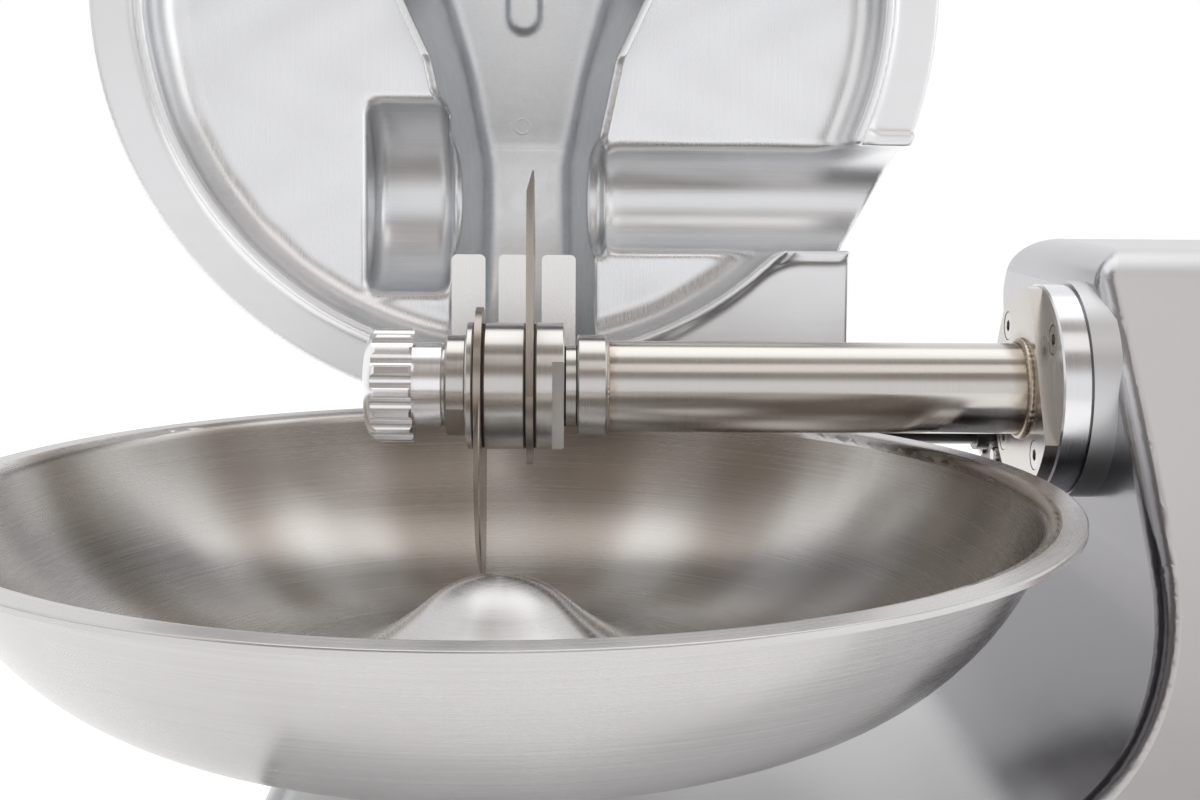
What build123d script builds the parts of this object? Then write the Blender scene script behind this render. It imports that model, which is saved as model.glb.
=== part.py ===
from build123d import *
import os
from math import asin, atan2, cos, degrees, hypot, radians, sin, sqrt, tan

# Bowl cutter: a bowl turns about Z, two knives turn about an X axis behind its centre.
# Modelled about the bowl axis, with the floor at z = 0, then moved as a whole at the end.
# All lengths in millimetres, all angles in degrees.

# ---------------------------------------------------------------- driving dimensions
# Fits
running_fit = 0.05          # radial gap of a shaft turning in its bore
body_gap = 0.3              # gap between curved faces of pieces that move apart
seat_gap = 0.1              # gap of a piece slipped into its seat

# Knives and knife shaft
knife_radius = 103.0
knife_thickness = 3.2
knife_heel = 36.5
knife_hook = 15.0           # how far the tip trails behind the blade's centre line
knife_bevel = 9.0
knife_edge = 0.7
hex_across = 24.0
shaft_y = 112.0
shaft_rise = 26.0           # height of the shaft axis over the bowl rim
shaft_radius = 12.5
collar_radius = 29.5
spacer_length = 18.5
end_collar_length = 3.2
inner_collar_length = 13.0
inner_collar_x = 13.4       # left face of the inner collar
collar_flats = 32.0
seal_length = 0.9
nut_radius = 23.5
nut_length = 9.7
nut_flats = 38.4
washer_length = 1.1
knob_radius = 26.5
knob_length = 22.6
knob_hub_radius = 20.0
knob_hub_length = 13.4
knob_lobes = 16
knob_scallop = 5.0
knob_face = 4.0
thread_radius = 10.0
locknut_length = 9.0
locknut_radius = 16.0
flats_length = 5.4

# Bowl
rim_height = 300.0
bowl_lip = 14.786            # width of the flat lip
bowl_wall = 2.5
bowl_bend = 7.0             # inner bend between trough and lip
knife_clearance = 1.5       # knife tip to trough
inner_slope_radius = 126.0  # trough side next to the centre dome
dome_drop = 36.3            # dome top under the rim
hub_radius = 36.0
hub_height = 26.0
carrier_radius = 46.0
carrier_thickness = 10.0
carrier_rise = 12.0         # carrier over the spindle boss
drive_pin_radius = 4.0
drive_pin_circle = 26.0
drive_pin_height = 12.0
spindle_radius = 14.0
spindle_depth = 92.0        # below the base top

# Shaft tube and its flange
tube_radius = 21.2
tube_wall = 3.0
tube_start = 45.9
tube_collar_radius = 24.0
tube_collar_start = 32.4
neck_radius = 19.0
neck_start = 27.3
neck_end = 31.8
seal_depth = 2.0
seal_inner = 18.0
small_bearing_radius = 18.5
small_bearing_width = 7.0
bearing_radius = 26.0
bearing_width = 15.0
bearing_flange_radius = 42.0
worm_bearing_radius = 16.0
weld_size = 1.8
shaft_space = 1.5           # free space round the shaft in its tube
head_space = 0.4            # round a sunk screw head
head_sunk = 0.2             # screw head under the face
flange_x = 240.0
flange_radius = 48.0
adapter_radius = 49.0
flange_thickness = 6.0
flange_flat = 29.5          # distance of the flat from the shaft axis
flange_flat_angle = 28.0    # the flat looks this far up from the front
adapter_thickness = 13.0
boss_radius = 50.5
flange_bolt_circle = 38.0
m8_head_radius = 6.5
m8_head_height = 4.0
m8_radius = 4.0
m8_socket = 5.0

# Housing
housing_over_shaft = 66.0
housing_bottom = 22.0
housing_wall = 5.0
housing_right = 490.0
housing_back = 262.0
front_top = 96.0            # y where the raked front would meet the top
front_rake = 35.0
back_top_radius = 62.0
front_top_radius = 28.0
neck_x = 265.0              # left face at the top
waist_x = 271.0             # left face where the scoop begins
scoop_radius = 90.0
bowl_over_base = 47.0
base_left = -95.0
base_flare = 60.0           # how far the left side runs out to the floor
corner_radius = 18.0
right_corner_radius = 14.0
edge_radius = 9.0

# Covers, feet
cover_thickness = 4.0
cover_inset = 1.5
foot_radius = 20.0
foot_inset = 34.0
side_cover_thickness = 3.0
side_cover_inset = 16.0
side_opening_inset = 30.0
m5_head_radius = 4.6
m5_head_height = 2.6
m5_radius = 2.5
m5_length = 9.0
m4_radius = 2.0
m4_head_radius = 3.8
m4_head_height = 2.0
post = 18.0
post_height = 18.0
cover_corner = 12.0
vent_count = 7
vent_pitch = 16.0
vent_length = 60.0
vent_width = 6.0

# Motor and belts
motor_y = 165.0
motor_radius = 54.0
motor_fin = 5.0
motor_fins = 20
motor_length = 168.0
motor_face_radius = 62.0
motor_face = 10.0
motor_shaft_radius = 9.5
fan_cover_length = 36.0
drive_plate_x = 416.0
drive_plate_thickness = 8.0
plate_rib = 16.0
rib_under_motor = 17.0
rib_under_shaft = 36.0
motor_pilot = 24.0
terminal_offset = 20.0
terminal_length = 60.0
terminal_width = 56.0
terminal_height = 26.0
fan_blades = 7
fan_hub_radius = 16.0
fan_hub_length = 16.0
fan_blade_length = 36.0
fan_blade_width = 14.0
fan_blade_wall = 2.0
fan_pitch = 28.0            # blade's turn out of the shaft's line
fan_in_cover = 10.0         # fan behind the cover's end
fan_cover_wall = 2.0
air_hole_radius = 6.0
pulley_hub_radius = 18.0
window_corner = 12.0
window_y = 60.0
window_width = 70.0
window_height = 60.0
belt_gap = 4.0
belt_thickness = 5.0
belt_width = 14.0
knife_pulley_radius = 38.0
motor_pulley_radius = 45.0
motor_small_radius = 22.0
worm_pulley_radius = 36.0
pulley_rim = 3.5
pulley_flange = 2.0

# Bowl gearbox
gearbox_half_x = 62.0
gearbox_corner = 14.0
gearbox_wall = 8.0          # closed end of the worm's bore
gearbox_front = 62.0
gearbox_back = 50.0
gearbox_height = 80.0
gearbox_neck = 27.0
gearbox_neck_radius = 34.0
gearbox_flange_radius = 50.0
gearbox_flange = 12.0
gearbox_bolt_circle = 42.0
spindle_boss_radius = 30.0
spindle_boss_height = 12.0
seal_ring = 5.0
worm_offset = 38.0
worm_drop = 35.0            # worm under the gearbox's top
worm_radius = 8.0

# Lid, in its closed position
lid_overhang = 2.0
lid_wall = 5.0
lid_gap = 5.0               # lid flange over the bowl rim
lid_flange = 6.0
lip_clearance = 8.214        # lid lip to the bowl's mouth
lip_width = 5.6
lip_depth = 7.0
dish_height = 25.0
dish_round = 18.0
lid_front = -32.0
lid_centre = 4.0            # x of the knife box's middle
box_clearance = 5.0         # knife tip to the knife box
box_mouth = 44.5            # half widths
box_roof = 24.0
box_seam = 86.0             # y where the box starts to flare
box_front_drop = 36.0
flare_corner_y = 37.0
flare_corner = 52.0
flare_front = 96.0
flare_roof = 48.0
box_run_out = 20.0          # how far the box is drawn past the lid's front
deflector_wall = 5.0
channel_radius = 28.5
channel_start = 46.0
pocket_radius = 53.0
pocket_left = -83.0
pocket_right = -38.0
collar_passage = 31.5
ear_edge = 182.5
ear_start = 138.0
ear_behind = 11.0           # how far the ear runs behind the hinge
lug_radius = 18.0
lug_width = 24.0
lug_left = 100.0
handle_inset = 65.0         # handle's middle inside the lip
handle_length = 90.0
handle_radius = 9.0
handle_height = 34.0
handle_y = -14.0

# Lid hinge
hinge_behind = 7.0          # hinge axis behind the bowl's rim
hinge_drop = 11.0
hinge_radius = 10.0
hinge_open = 94.6
hinge_flange_size = 42.0
hinge_flange_x = 259.0
hinge_flange_length = 9.0
hinge_collar_radius = 13.0
hinge_collar_length = 6.5
hinge_sleeve_radius = 16.0
hinge_sleeve_end = 318.0
cam_width = 8.0
cam_radius = 22.0
cam_notch = 7.0             # depth of the notch in the cam
cam_notch_width = 16.0
plunger_radius = 4.0
plunger_length = 6.0
switch_width = 28.0
switch_height = 44.0
safety_switch_depth = 34.0

# Comb
comb_thickness = 3.0
comb_lift = 3.0             # comb over the bowl rim
comb_reach = 32.0           # comb tips behind the shaft axis
comb_seat_depth = 11.0      # width of the strip the screws hold
comb_inset = 1.0            # comb's back edge inside the bowl's rim
comb_corner = 3.0
comb_clearance = 2.0        # finger edge to knife face
comb_pad_height = 9.0       # lid metal over the comb's screws
comb_left = -34.5
comb_right = 33.0

# Controls
panel_width = 64.0
panel_height = 128.0
panel_thickness = 2.5
panel_x = 386.0
panel_under_rim = 38.0
button_travel = 4.0
button_radius = 10.5
stop_radius = 17.0
selector_radius = 15.0
bezel_radius = 15.0
bezel_height = 5.0
stem_radius = 6.0
button_pitch = 40.0
bezel_neck = 11.0
bezel_depth = 12.0
switch_depth = 26.0
gland_x = 440.0
gland_under_motor = 30.0
gland_hex = 27.0
gland_neck = 10.0
gland_bore = 5.5
gland_flange = 8.0
gland_nut = 5.0
gland_reach = 22.0          # gland outside the housing

# ---------------------------------------------------------------- worked-out places
shaft_z = rim_height + shaft_rise
trough_radius = knife_radius + knife_clearance
bowl_mouth = shaft_y + sqrt(trough_radius**2 - shaft_rise**2)
bowl_radius = bowl_mouth + bowl_lip
housing_height = shaft_z + housing_over_shaft
base_height = shaft_z - trough_radius - bowl_wall - bowl_over_base
knife_right_x = inner_collar_x - seal_length - knife_thickness
spacer_x = knife_right_x - seal_length - spacer_length
knife_left_x = spacer_x - seal_length - knife_thickness
end_collar_x = knife_left_x - seal_length - end_collar_length
nut_x = end_collar_x - nut_length
washer_x = nut_x - washer_length
knob_hub_x = washer_x - knob_hub_length
knob_x = knob_hub_x - knob_length
adapter_x = flange_x + flange_thickness
boss_x = adapter_x + adapter_thickness
plate_right = drive_plate_x + drive_plate_thickness
small_belt_x = plate_right + belt_gap
large_belt_x = small_belt_x + belt_width + 2 * pulley_flange + belt_gap
hinge_y = bowl_radius + hinge_behind
hinge_z = rim_height - hinge_drop
lid_radius = bowl_radius + lid_overhang
lip_outer = bowl_mouth - lip_clearance
ear_back = hinge_y + ear_behind
handle_x = handle_inset - lip_outer
comb_tip = shaft_y + comb_reach
comb_back = bowl_radius - comb_inset
comb_root = comb_back - comb_seat_depth
comb_top = rim_height + comb_lift + comb_thickness
lid_bottom = rim_height + lid_gap
rake = tan(radians(front_rake))
base_inside = base_height - housing_wall
gearbox_top = base_inside - gearbox_neck
gearbox_bottom = gearbox_top - gearbox_height
worm_z = gearbox_top - worm_drop
motor_z = worm_z
motor_back = drive_plate_x - motor_face - motor_length
rib_low = motor_z - rib_under_motor
rib_high = shaft_z - rib_under_shaft
window_z = (motor_z + shaft_z) / 2
panel_z = rim_height - panel_under_rim
gland_z = motor_z - gland_under_motor
boss_top = base_height + spindle_boss_height
carrier_z = boss_top + carrier_rise
hub_z = carrier_z + carrier_thickness
bearing_end_x = drive_plate_x - 4
far = 4 * bowl_radius        # reaches past the whole machine


# ---------------------------------------------------------------- shapes
def block(x0, x1, y0, y1, z0, z1):
    return Pos((x0 + x1) / 2, (y0 + y1) / 2, (z0 + z1) / 2) * Box(x1 - x0, y1 - y0, z1 - z0)


def x_rod(radius, x0, x1, y=shaft_y, z=shaft_z):
    return Pos((x0 + x1) / 2, y, z) * Rot(0, 90, 0) * Cylinder(radius, x1 - x0)


def x_tube(outer, inner, x0, x1, y=shaft_y, z=shaft_z):
    return x_rod(outer, x0, x1, y, z) - x_rod(inner, x0 - 1, x1 + 1, y, z)


def z_rod(radius, z0, z1, x=0.0, y=0.0):
    return Pos(x, y, (z0 + z1) / 2) * Cylinder(radius, z1 - z0)


def z_tube(outer, inner, z0, z1, x=0.0, y=0.0):
    return z_rod(outer, z0, z1, x, y) - z_rod(inner, z0 - 1, z1 + 1, x, y)


def along_x(sketch, x0, x1):
    """Extrude a sketch drawn in (y, z) from x0 to x1."""
    return Pos(x0, 0, 0) * extrude(Plane.YZ * sketch, x1 - x0)


def along_y(sketch, y0, y1):
    """Extrude a sketch drawn in (x, z) from y0 to y1."""
    return Pos(0, y1, 0) * extrude(Plane.XZ * sketch, y1 - y0)


def turned(edges):
    """Revolve a closed outline drawn in (x, z) about Z."""
    return revolve(Plane.XZ * make_face(edges), Axis.Z)


def corner(sketch, x, y):
    """The vertex of a sketch nearest to a point."""
    return min(sketch.vertices(), key=lambda v: hypot(v.X - x, v.Y - y))


def rounded(sketch, corners):
    """Round the corners given as (x, y, radius)."""
    for x, y, radius in corners:
        sketch = fillet(corner(sketch, x, y), radius)
    return sketch


def group(pieces):
    return Compound(children=[piece.solid() for piece in pieces])


# ---------------------------------------------------------------- housing
def front_y(z):
    """The raked front face."""
    return front_top - (housing_height - z) * rake


def side_outline(inset=0.0):
    """Section of the housing across X, drawn in (y, z)."""
    outline = Polygon(
        (front_y(housing_bottom), housing_bottom),
        (housing_back, housing_bottom),
        (housing_back, housing_height),
        (front_top, housing_height),
        align=None,
    )
    outline = rounded(
        outline,
        [
            (housing_back, housing_height, back_top_radius),
            (front_top, housing_height, front_top_radius),
        ],
    )
    return offset(outline, -inset) if inset else outline


def scoop_outline(inset=0.0):
    """Section of the housing across Y, drawn in (x, z), with the scoop that clears the bowl."""
    waist_z = base_height + scoop_radius
    rise = housing_height - waist_z
    lean = waist_x - neck_x
    bulge = (rise**2 + lean**2) / (2 * lean)
    half = rise / bulge / 2
    wall_middle = (waist_x - bulge + bulge * cos(half), waist_z + bulge * sin(half))
    scoop_x = waist_x - scoop_radius
    scoop_middle = (scoop_x + scoop_radius * cos(radians(45)), waist_z - scoop_radius * sin(radians(45)))
    bottom_left = (base_left - base_flare, housing_bottom)
    top_right = (housing_right, housing_height)
    neck = (neck_x, housing_height)
    edges = [
        Line(bottom_left, (housing_right, housing_bottom)),
        Line((housing_right, housing_bottom), top_right),
        Line(top_right, neck),
        ThreePointArc(neck, wall_middle, (waist_x, waist_z)),
        ThreePointArc((waist_x, waist_z), scoop_middle, (scoop_x, base_height)),
        Line((scoop_x, base_height), (base_left, base_height)),
        Line((base_left, base_height), bottom_left),
    ]
    outline = Sketch() + make_face(edges)
    outline = rounded(
        outline,
        [
            (*neck, corner_radius),
            (*top_right, right_corner_radius),
            (base_left, base_height, corner_radius),
        ],
    )
    return offset(outline, -inset) if inset else outline


def housing_form(inset=0.0):
    across = along_x(side_outline(inset), base_left - base_flare - 10, housing_right + 10)
    along = along_y(scoop_outline(inset), front_y(0), housing_back + 10)
    return across & along


def eased_form():
    """The housing's outside with the edges of its front and back faces rounded."""
    along = along_y(scoop_outline(), front_y(0), housing_back)
    back = along.faces().sort_by(Axis.Y)[-1]
    floor_edge = back.edges().sort_by(Axis.Z)[0]
    along = fillet([e for e in back.edges() if e != floor_edge], edge_radius)
    form = along_x(side_outline(), base_left - base_flare - 10, housing_right + 10) & along

    def lies_on_front(edge):
        points = [edge @ t for t in (0, 0.5, 1)]
        return all(abs(p.Y - front_y(p.Z)) < 0.05 for p in points)

    def is_low(edge):
        return max((edge @ 0).Z, (edge @ 1).Z) < housing_bottom + 0.1

    def is_seam(edge):
        """The smooth line where a flat face meets the rounding of the top."""
        start, end = edge @ 0, edge @ 1
        return abs(start.Z - end.Z) < 0.01 and abs(start.Y - end.Y) < 0.01 and start.Z > rim_height

    front = [e for e in form.edges() if lies_on_front(e) and not is_low(e) and not is_seam(e)]
    return fillet(front, edge_radius)


def posts():
    """Screw posts for the bottom cover, in the corners and half way along."""
    left = base_left - base_flare + housing_wall
    right = housing_right - housing_wall
    front = front_y(housing_bottom) + housing_wall
    back = housing_back - housing_wall
    middle = (left + right) / 2
    columns = (left + post / 2, middle, right - post / 2)
    rows = (front + post / 2, back - post / 2)
    return [(x, y) for x in columns for y in rows]


def rib_points():
    """Screw points of the drive plate, as (y, z)."""
    inside = housing_back - housing_wall - plate_rib / 2
    low_front = front_y(rib_low) + housing_wall + plate_rib * 0.75
    high_front = front_y(rib_high) + housing_wall + plate_rib * 0.75
    return [(inside, rib_low), (inside, rib_high), (low_front, rib_low), (high_front, rib_high)]


def side_cover_points():
    """Screw points of the side cover, as (y, z)."""
    edge = (side_cover_inset + side_opening_inset) / 2
    low = housing_bottom + edge
    middle = (housing_bottom + housing_height) / 2
    back = housing_back - edge
    return [
        (front_y(low) + edge / cos(radians(front_rake)) + edge, low),
        (back, low),
        (back, middle),
        (housing_back - back_top_radius, housing_height - edge),
        (front_top + front_top_radius, housing_height - edge),
        (front_y(middle) + edge / cos(radians(front_rake)), middle),
    ]


def flange_bolts():
    """Centres of the tube flange screws, as (y, z); the second one misses the flange."""
    return [
        (shaft_y + flange_bolt_circle * cos(radians(a)), shaft_z + flange_bolt_circle * sin(radians(a)))
        for a in (45, 137, 225, 315)
    ]


def circle_points(radius, angles, y=0.0, z=0.0):
    return [(y + radius * cos(radians(a)), z + radius * sin(radians(a))) for a in angles]


panel_plane = Plane(
    origin=(panel_x, front_y(panel_z), panel_z),
    x_dir=(1, 0, 0),
    z_dir=(0, -cos(radians(front_rake)), sin(radians(front_rake))),
)
control_rows = {"stop": -button_pitch, "start": 0.0, "selector": button_pitch}


def on_panel(shape):
    return panel_plane.location * shape


def housing():
    body = eased_form()
    body = body + (x_rod(boss_radius, boss_x, waist_x + 1))
    pad = hinge_flange_size / 2 + 1
    pad_x = hinge_flange_x + hinge_flange_length
    body = body + block(pad_x, waist_x + 1, hinge_y - pad, hinge_y + pad, hinge_z - pad, hinge_z + pad)
    cavity = housing_form(housing_wall)
    cavity = cavity + extrude(cavity.faces().sort_by(Axis.Z)[0], housing_wall + 5)
    for x, y in posts():
        post_top = housing_bottom + post_height
        cavity = cavity - block(x - post / 2 - 1, x + post / 2, y - post / 2, y + post / 2, 0, post_top)
    for y, z in rib_points():
        half = plate_rib / 2
        cavity = cavity - block(
            drive_plate_x - plate_rib, drive_plate_x, y - half, y + half, z - half, z + half
        )
        reach = housing_wall * 2 + half
        wall_side = 1 if y > 0 and y > housing_back / 2 else -1
        low, high = sorted((y, y + wall_side * reach))
        cavity = cavity - block(drive_plate_x - plate_rib, drive_plate_x, low, high, z - half, z + half)
    body = body - cavity
    body = body - x_rod(shaft_radius + shaft_space, boss_x - 1, waist_x + 20)
    body = body - x_rod(hinge_sleeve_radius + seat_gap, pad_x - 1, waist_x + 20, hinge_y, hinge_z)
    body = body - z_rod(spindle_boss_radius + seat_gap, base_inside - 1, base_height + 1)
    for x, y in circle_points(gearbox_bolt_circle, (45, 135, 225, 315)):
        body = body - z_rod(m8_radius, base_inside - 1, base_height - 1, x, y)
    for y, z in flange_bolts():
        body = body - x_rod(m8_radius, boss_x - 1, waist_x + 2, y, z)
    for y, z in hinge_bolts():
        body = body - x_rod(m5_radius, pad_x - 1, waist_x + 2, y, z)
    for x, y in posts():
        body = body - z_rod(m5_radius, housing_bottom - 1, housing_bottom + m5_length, x, y)
    for y, z in rib_points():
        body = body - x_rod(m5_radius, drive_plate_x - m5_length, drive_plate_x + 1, y, z)
    wall_inside = housing_right - housing_wall - 1
    body = body - along_x(side_outline(side_opening_inset), wall_inside, housing_right + 1)
    for y, z in side_cover_points():
        body = body - x_rod(m5_radius, wall_inside, housing_right + 1, y, z)
    for row in control_rows.values():
        body = body - on_panel(z_rod(bezel_neck + seat_gap, -housing_wall * 2, 1, 0, row))
    body = body - gland_rod(gland_neck + seat_gap, housing_back - housing_wall * 2, housing_back + 1)
    return body


def bottom_cover():
    left = base_left - base_flare + cover_inset
    right = housing_right - cover_inset
    front = front_y(housing_bottom) + cover_inset
    back = housing_back - cover_inset
    middle = Pos((left + right) / 2, (front + back) / 2)
    sketch = middle * RectangleRounded(right - left, back - front, cover_corner)
    first = drive_plate_x - motor_length
    for i in range(vent_count):
        slot = Pos(first + i * vent_pitch, motor_y) * Rot(0, 0, 90) * SlotOverall(vent_length, vent_width)
        sketch = sketch - slot
    cover = Pos(0, 0, housing_bottom - cover_thickness) * extrude(sketch, cover_thickness)
    for x, y in posts() + foot_points():
        cover = cover - z_rod(m5_radius + seat_gap, 0, housing_bottom + 1, x, y)
    return cover


def side_cover():
    cover = along_x(side_outline(side_cover_inset), housing_right, housing_right + side_cover_thickness)
    for y, z in side_cover_points():
        cover = cover - x_rod(m5_radius + seat_gap, housing_right - 1, housing_right + 10, y, z)
    return cover


def button_head(radius, height):
    """A round screw head standing on z = 0, with its rim eased."""
    head = Pos(0, 0, height / 2) * Cylinder(radius, height)
    return chamfer(head.edges().filter_by(GeomType.CIRCLE).sort_by(Axis.Z)[-1:], height * 0.4)


def headed_screw(head_radius, head_height, radius, length):
    """A button-head screw pointing down, with its seat at z = 0."""
    return button_head(head_radius, head_height) + Pos(0, 0, -length / 2) * Cylinder(radius, length)


def m5_screw(length=m5_length):
    return headed_screw(m5_head_radius, m5_head_height, m5_radius, length)


def m8_screw(length):
    head = Pos(0, 0, m8_head_height / 2) * Cylinder(m8_head_radius, m8_head_height)
    socket = Pos(0, 0, 1) * extrude(RegularPolygon(m8_socket / 2, 6, major_radius=False), m8_head_height)
    return head - socket + Pos(0, 0, -length / 2) * Cylinder(m8_radius - seat_gap, length)


def facing_left(x, y, z):
    return Pos(x, y, z) * Rot(0, -90, 0)


def facing_right(x, y, z):
    return Pos(x, y, z) * Rot(0, 90, 0)


def facing_down(x, y, z):
    return Pos(x, y, z) * Rot(180, 0, 0)


def cover_screws():
    below = housing_bottom - cover_thickness
    bottom = [facing_down(x, y, below) * m5_screw() for x, y in posts()]
    right = housing_right + side_cover_thickness
    side = [facing_right(right, y, z) * side_screw() for y, z in side_cover_points()]
    return group(bottom + side + foot_screws())


def side_screw():
    return m5_screw(side_cover_thickness + housing_wall)


def foot_points():
    left = base_left - base_flare + foot_inset
    right = housing_right - foot_inset
    front = front_y(housing_bottom) + foot_inset
    back = housing_back - foot_inset
    return [(x, y) for x in (left, right) for y in (front, back)]


def rubber_feet():
    height = housing_bottom - cover_thickness
    foot = Pos(0, 0, height / 2) * Cone(foot_radius * 0.85, foot_radius, height)
    foot = foot - Cylinder(m5_radius + seat_gap, 3 * height) - Cylinder(m5_head_radius + 1, height)
    return group([Pos(x, y, 0) * foot for x, y in foot_points()])


def foot_screws():
    seat = (housing_bottom - cover_thickness) / 2
    screw = m5_screw(housing_bottom - seat + 4)
    return [facing_down(x, y, seat) * screw for x, y in foot_points()]


# ---------------------------------------------------------------- shaft tube and bearings
def shaft_tube():
    tube = x_rod(tube_radius, tube_start, flange_x)
    chord = rotated_flat(flange_x, flange_thickness)
    plate = x_rod(flange_radius, flange_x, adapter_x) - chord
    tube = tube + plate
    joint = tube.edges().filter_by(GeomType.CIRCLE)
    joint = [e for e in joint if abs(e.radius - tube_radius) < 0.01]
    joint = [e for e in joint if abs(e.center().X - flange_x) < 0.01]
    tube = fillet(joint, weld_size)
    tube = tube - x_rod(tube_radius - tube_wall, tube_start - 1, flange_x - 4)
    tube = tube - x_rod(shaft_radius + shaft_space, 0, adapter_x + 1)
    for index, (y, z) in enumerate(flange_bolts()):
        if index != 1:
            seat = flange_x + m8_head_height + head_sunk
            tube = tube - x_rod(m8_head_radius + head_space, flange_x - 1, seat, y, z)
            tube = tube - x_rod(m8_radius + seat_gap, flange_x - 1, adapter_x + 1, y, z)
    return tube


def rotated_flat(x, length):
    """The piece cut away at the flange's flat."""
    angle = radians(180 - flange_flat_angle)
    reach = flange_radius
    middle_y = shaft_y + (flange_flat + reach / 2) * cos(angle)
    middle_z = shaft_z + (flange_flat + reach / 2) * sin(angle)
    cutter = Rot(180 - flange_flat_angle, 0, 0) * Box(length + 2, reach, 3 * reach)
    return Pos(x + length / 2, middle_y, middle_z) * cutter


def tube_end_collar():
    collar = x_rod(tube_collar_radius, tube_collar_start, tube_start)
    rims = collar.edges().filter_by(GeomType.CIRCLE)
    collar = chamfer(rims, 0.8)
    bearing_end = tube_collar_start + seal_depth + small_bearing_width
    collar = collar - x_rod(small_bearing_radius, tube_collar_start - 1, bearing_end)
    return collar - x_rod(shaft_radius + shaft_space, bearing_end - 1, tube_start + 1)


def adapter_ring():
    ring = x_rod(adapter_radius, adapter_x, boss_x)
    ring = chamfer(ring.edges().filter_by(GeomType.CIRCLE), 0.8)
    ring = ring - x_rod(shaft_radius + shaft_space, adapter_x - 1, boss_x + 1)
    for index, (y, z) in enumerate(flange_bolts()):
        ring = ring - x_rod(m8_radius + seat_gap, adapter_x - 1, boss_x + 1, y, z)
        if index == 1:
            deep = adapter_x + m8_head_height + head_sunk
            counterbore = x_rod(m8_head_radius + head_space, adapter_x - 1, deep, y, z)
            ring = ring - counterbore
    return ring


def hinge_bolts():
    half = hinge_flange_size / 2 - 7
    return [(hinge_y + i * half, hinge_z + j * half) for i in (-1, 1) for j in (-1, 1)]


def flange_screws():
    """The tube flange's socket screws and those of the hinge sleeve."""
    screws = []
    for index, (y, z) in enumerate(flange_bolts()):
        seat = (adapter_x if index == 1 else flange_x) + m8_head_height + head_sunk
        screws.append(facing_left(seat, y, z) * m8_screw(waist_x - seat))
    length = hinge_flange_length + 3
    small = headed_screw(m5_head_radius, m5_head_height, m5_radius - seat_gap, length)
    screws += [facing_left(hinge_flange_x, y, z) * small for y, z in hinge_bolts()]
    return group(screws)


def shaft_seal():
    start = neck_end + body_gap
    lip = x_tube(neck_radius, shaft_radius + body_gap, start, tube_collar_start)
    end = tube_collar_start + seal_depth
    return lip + x_tube(small_bearing_radius, shaft_radius + body_gap, tube_collar_start, end)


def rear_bearing_housing():
    body = x_rod(bearing_radius + 7, bearing_end_x - bearing_width - 3, drive_plate_x)
    body = body + x_rod(bearing_flange_radius, drive_plate_x - 8, drive_plate_x)
    body = body - x_rod(bearing_radius, bearing_end_x - bearing_width - 4, bearing_end_x)
    body = body - x_rod(shaft_radius + shaft_space, bearing_end_x - 1, drive_plate_x + 1)
    for y, z in bearing_bolts():
        body = body - x_rod(m5_radius + seat_gap, drive_plate_x - 9, drive_plate_x + 1, y, z)
    return body


def bearing_bolts():
    return circle_points(bearing_flange_radius - 6, (45, 135, 225, 315), shaft_y, shaft_z)


def ring_pair(inner, outer, x0, x1, y, z):
    """Inner and outer ring of a sealed bearing, a body gap apart."""
    split = (inner + outer) / 2
    outside = x_tube(outer, split + body_gap / 2, x0, x1, y, z)
    inside = x_tube(split - body_gap / 2, inner, x0, x1, y, z)
    return inside, outside


def bearings():
    """Front and rear bearings of the knife shaft, and the worm shaft's outboard bearing."""
    front_x = tube_collar_start + seal_depth
    front_end = front_x + small_bearing_width
    rear_x = bearing_end_x - bearing_width
    front = ring_pair(shaft_radius, small_bearing_radius, front_x, front_end, shaft_y, shaft_z)
    rear = ring_pair(shaft_radius, bearing_radius, rear_x, bearing_end_x, shaft_y, shaft_z)
    worm = ring_pair(worm_radius, worm_bearing_radius, drive_plate_x, plate_right, -worm_offset, worm_z)
    return front, rear, worm


# ---------------------------------------------------------------- knife rotor
def knife_shaft():
    thread_start = knob_x + 9
    end = large_belt_x + belt_width + pulley_flange
    shaft = x_rod(thread_radius, thread_start, end_collar_x)
    hexagon = Pos(shaft_y, shaft_z) * RegularPolygon(hex_across / 2, 6, major_radius=False)
    shaft = shaft + along_x(hexagon, end_collar_x, inner_collar_x + inner_collar_length)
    shaft = shaft + x_rod(shaft_radius, inner_collar_x + inner_collar_length, end)
    return shaft + x_rod(thread_radius, end, end + locknut_length + 2)


def hex_bore(x0, x1):
    bore = Pos(shaft_y, shaft_z) * RegularPolygon(hex_across / 2 + seat_gap, 6, major_radius=False)
    return along_x(bore, x0 - 1, x1 + 1)


def collar(x0, length):
    ring = x_rod(collar_radius, x0, x0 + length)
    return chamfer(ring.edges().filter_by(GeomType.CIRCLE), 0.6)


def two_flats(shape, across, angle, x0, x1):
    """Cut two parallel wrench flats between x0 and x1; the first one looks along angle."""
    for turn in (angle, angle + 180):
        a = radians(turn)
        depth = collar_radius
        y = shaft_y + (across / 2 + depth / 2) * cos(a)
        z = shaft_z + (across / 2 + depth / 2) * sin(a)
        shape = shape - Pos((x0 + x1) / 2, y, z) * Rot(turn, 0, 0) * Box(x1 - x0, depth, 4 * depth)
    return shape


def inner_collar():
    end = inner_collar_x + inner_collar_length
    ring = collar(inner_collar_x, inner_collar_length) - hex_bore(inner_collar_x, end)
    return two_flats(ring, collar_flats, 208, end - flats_length, end + 1)


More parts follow.
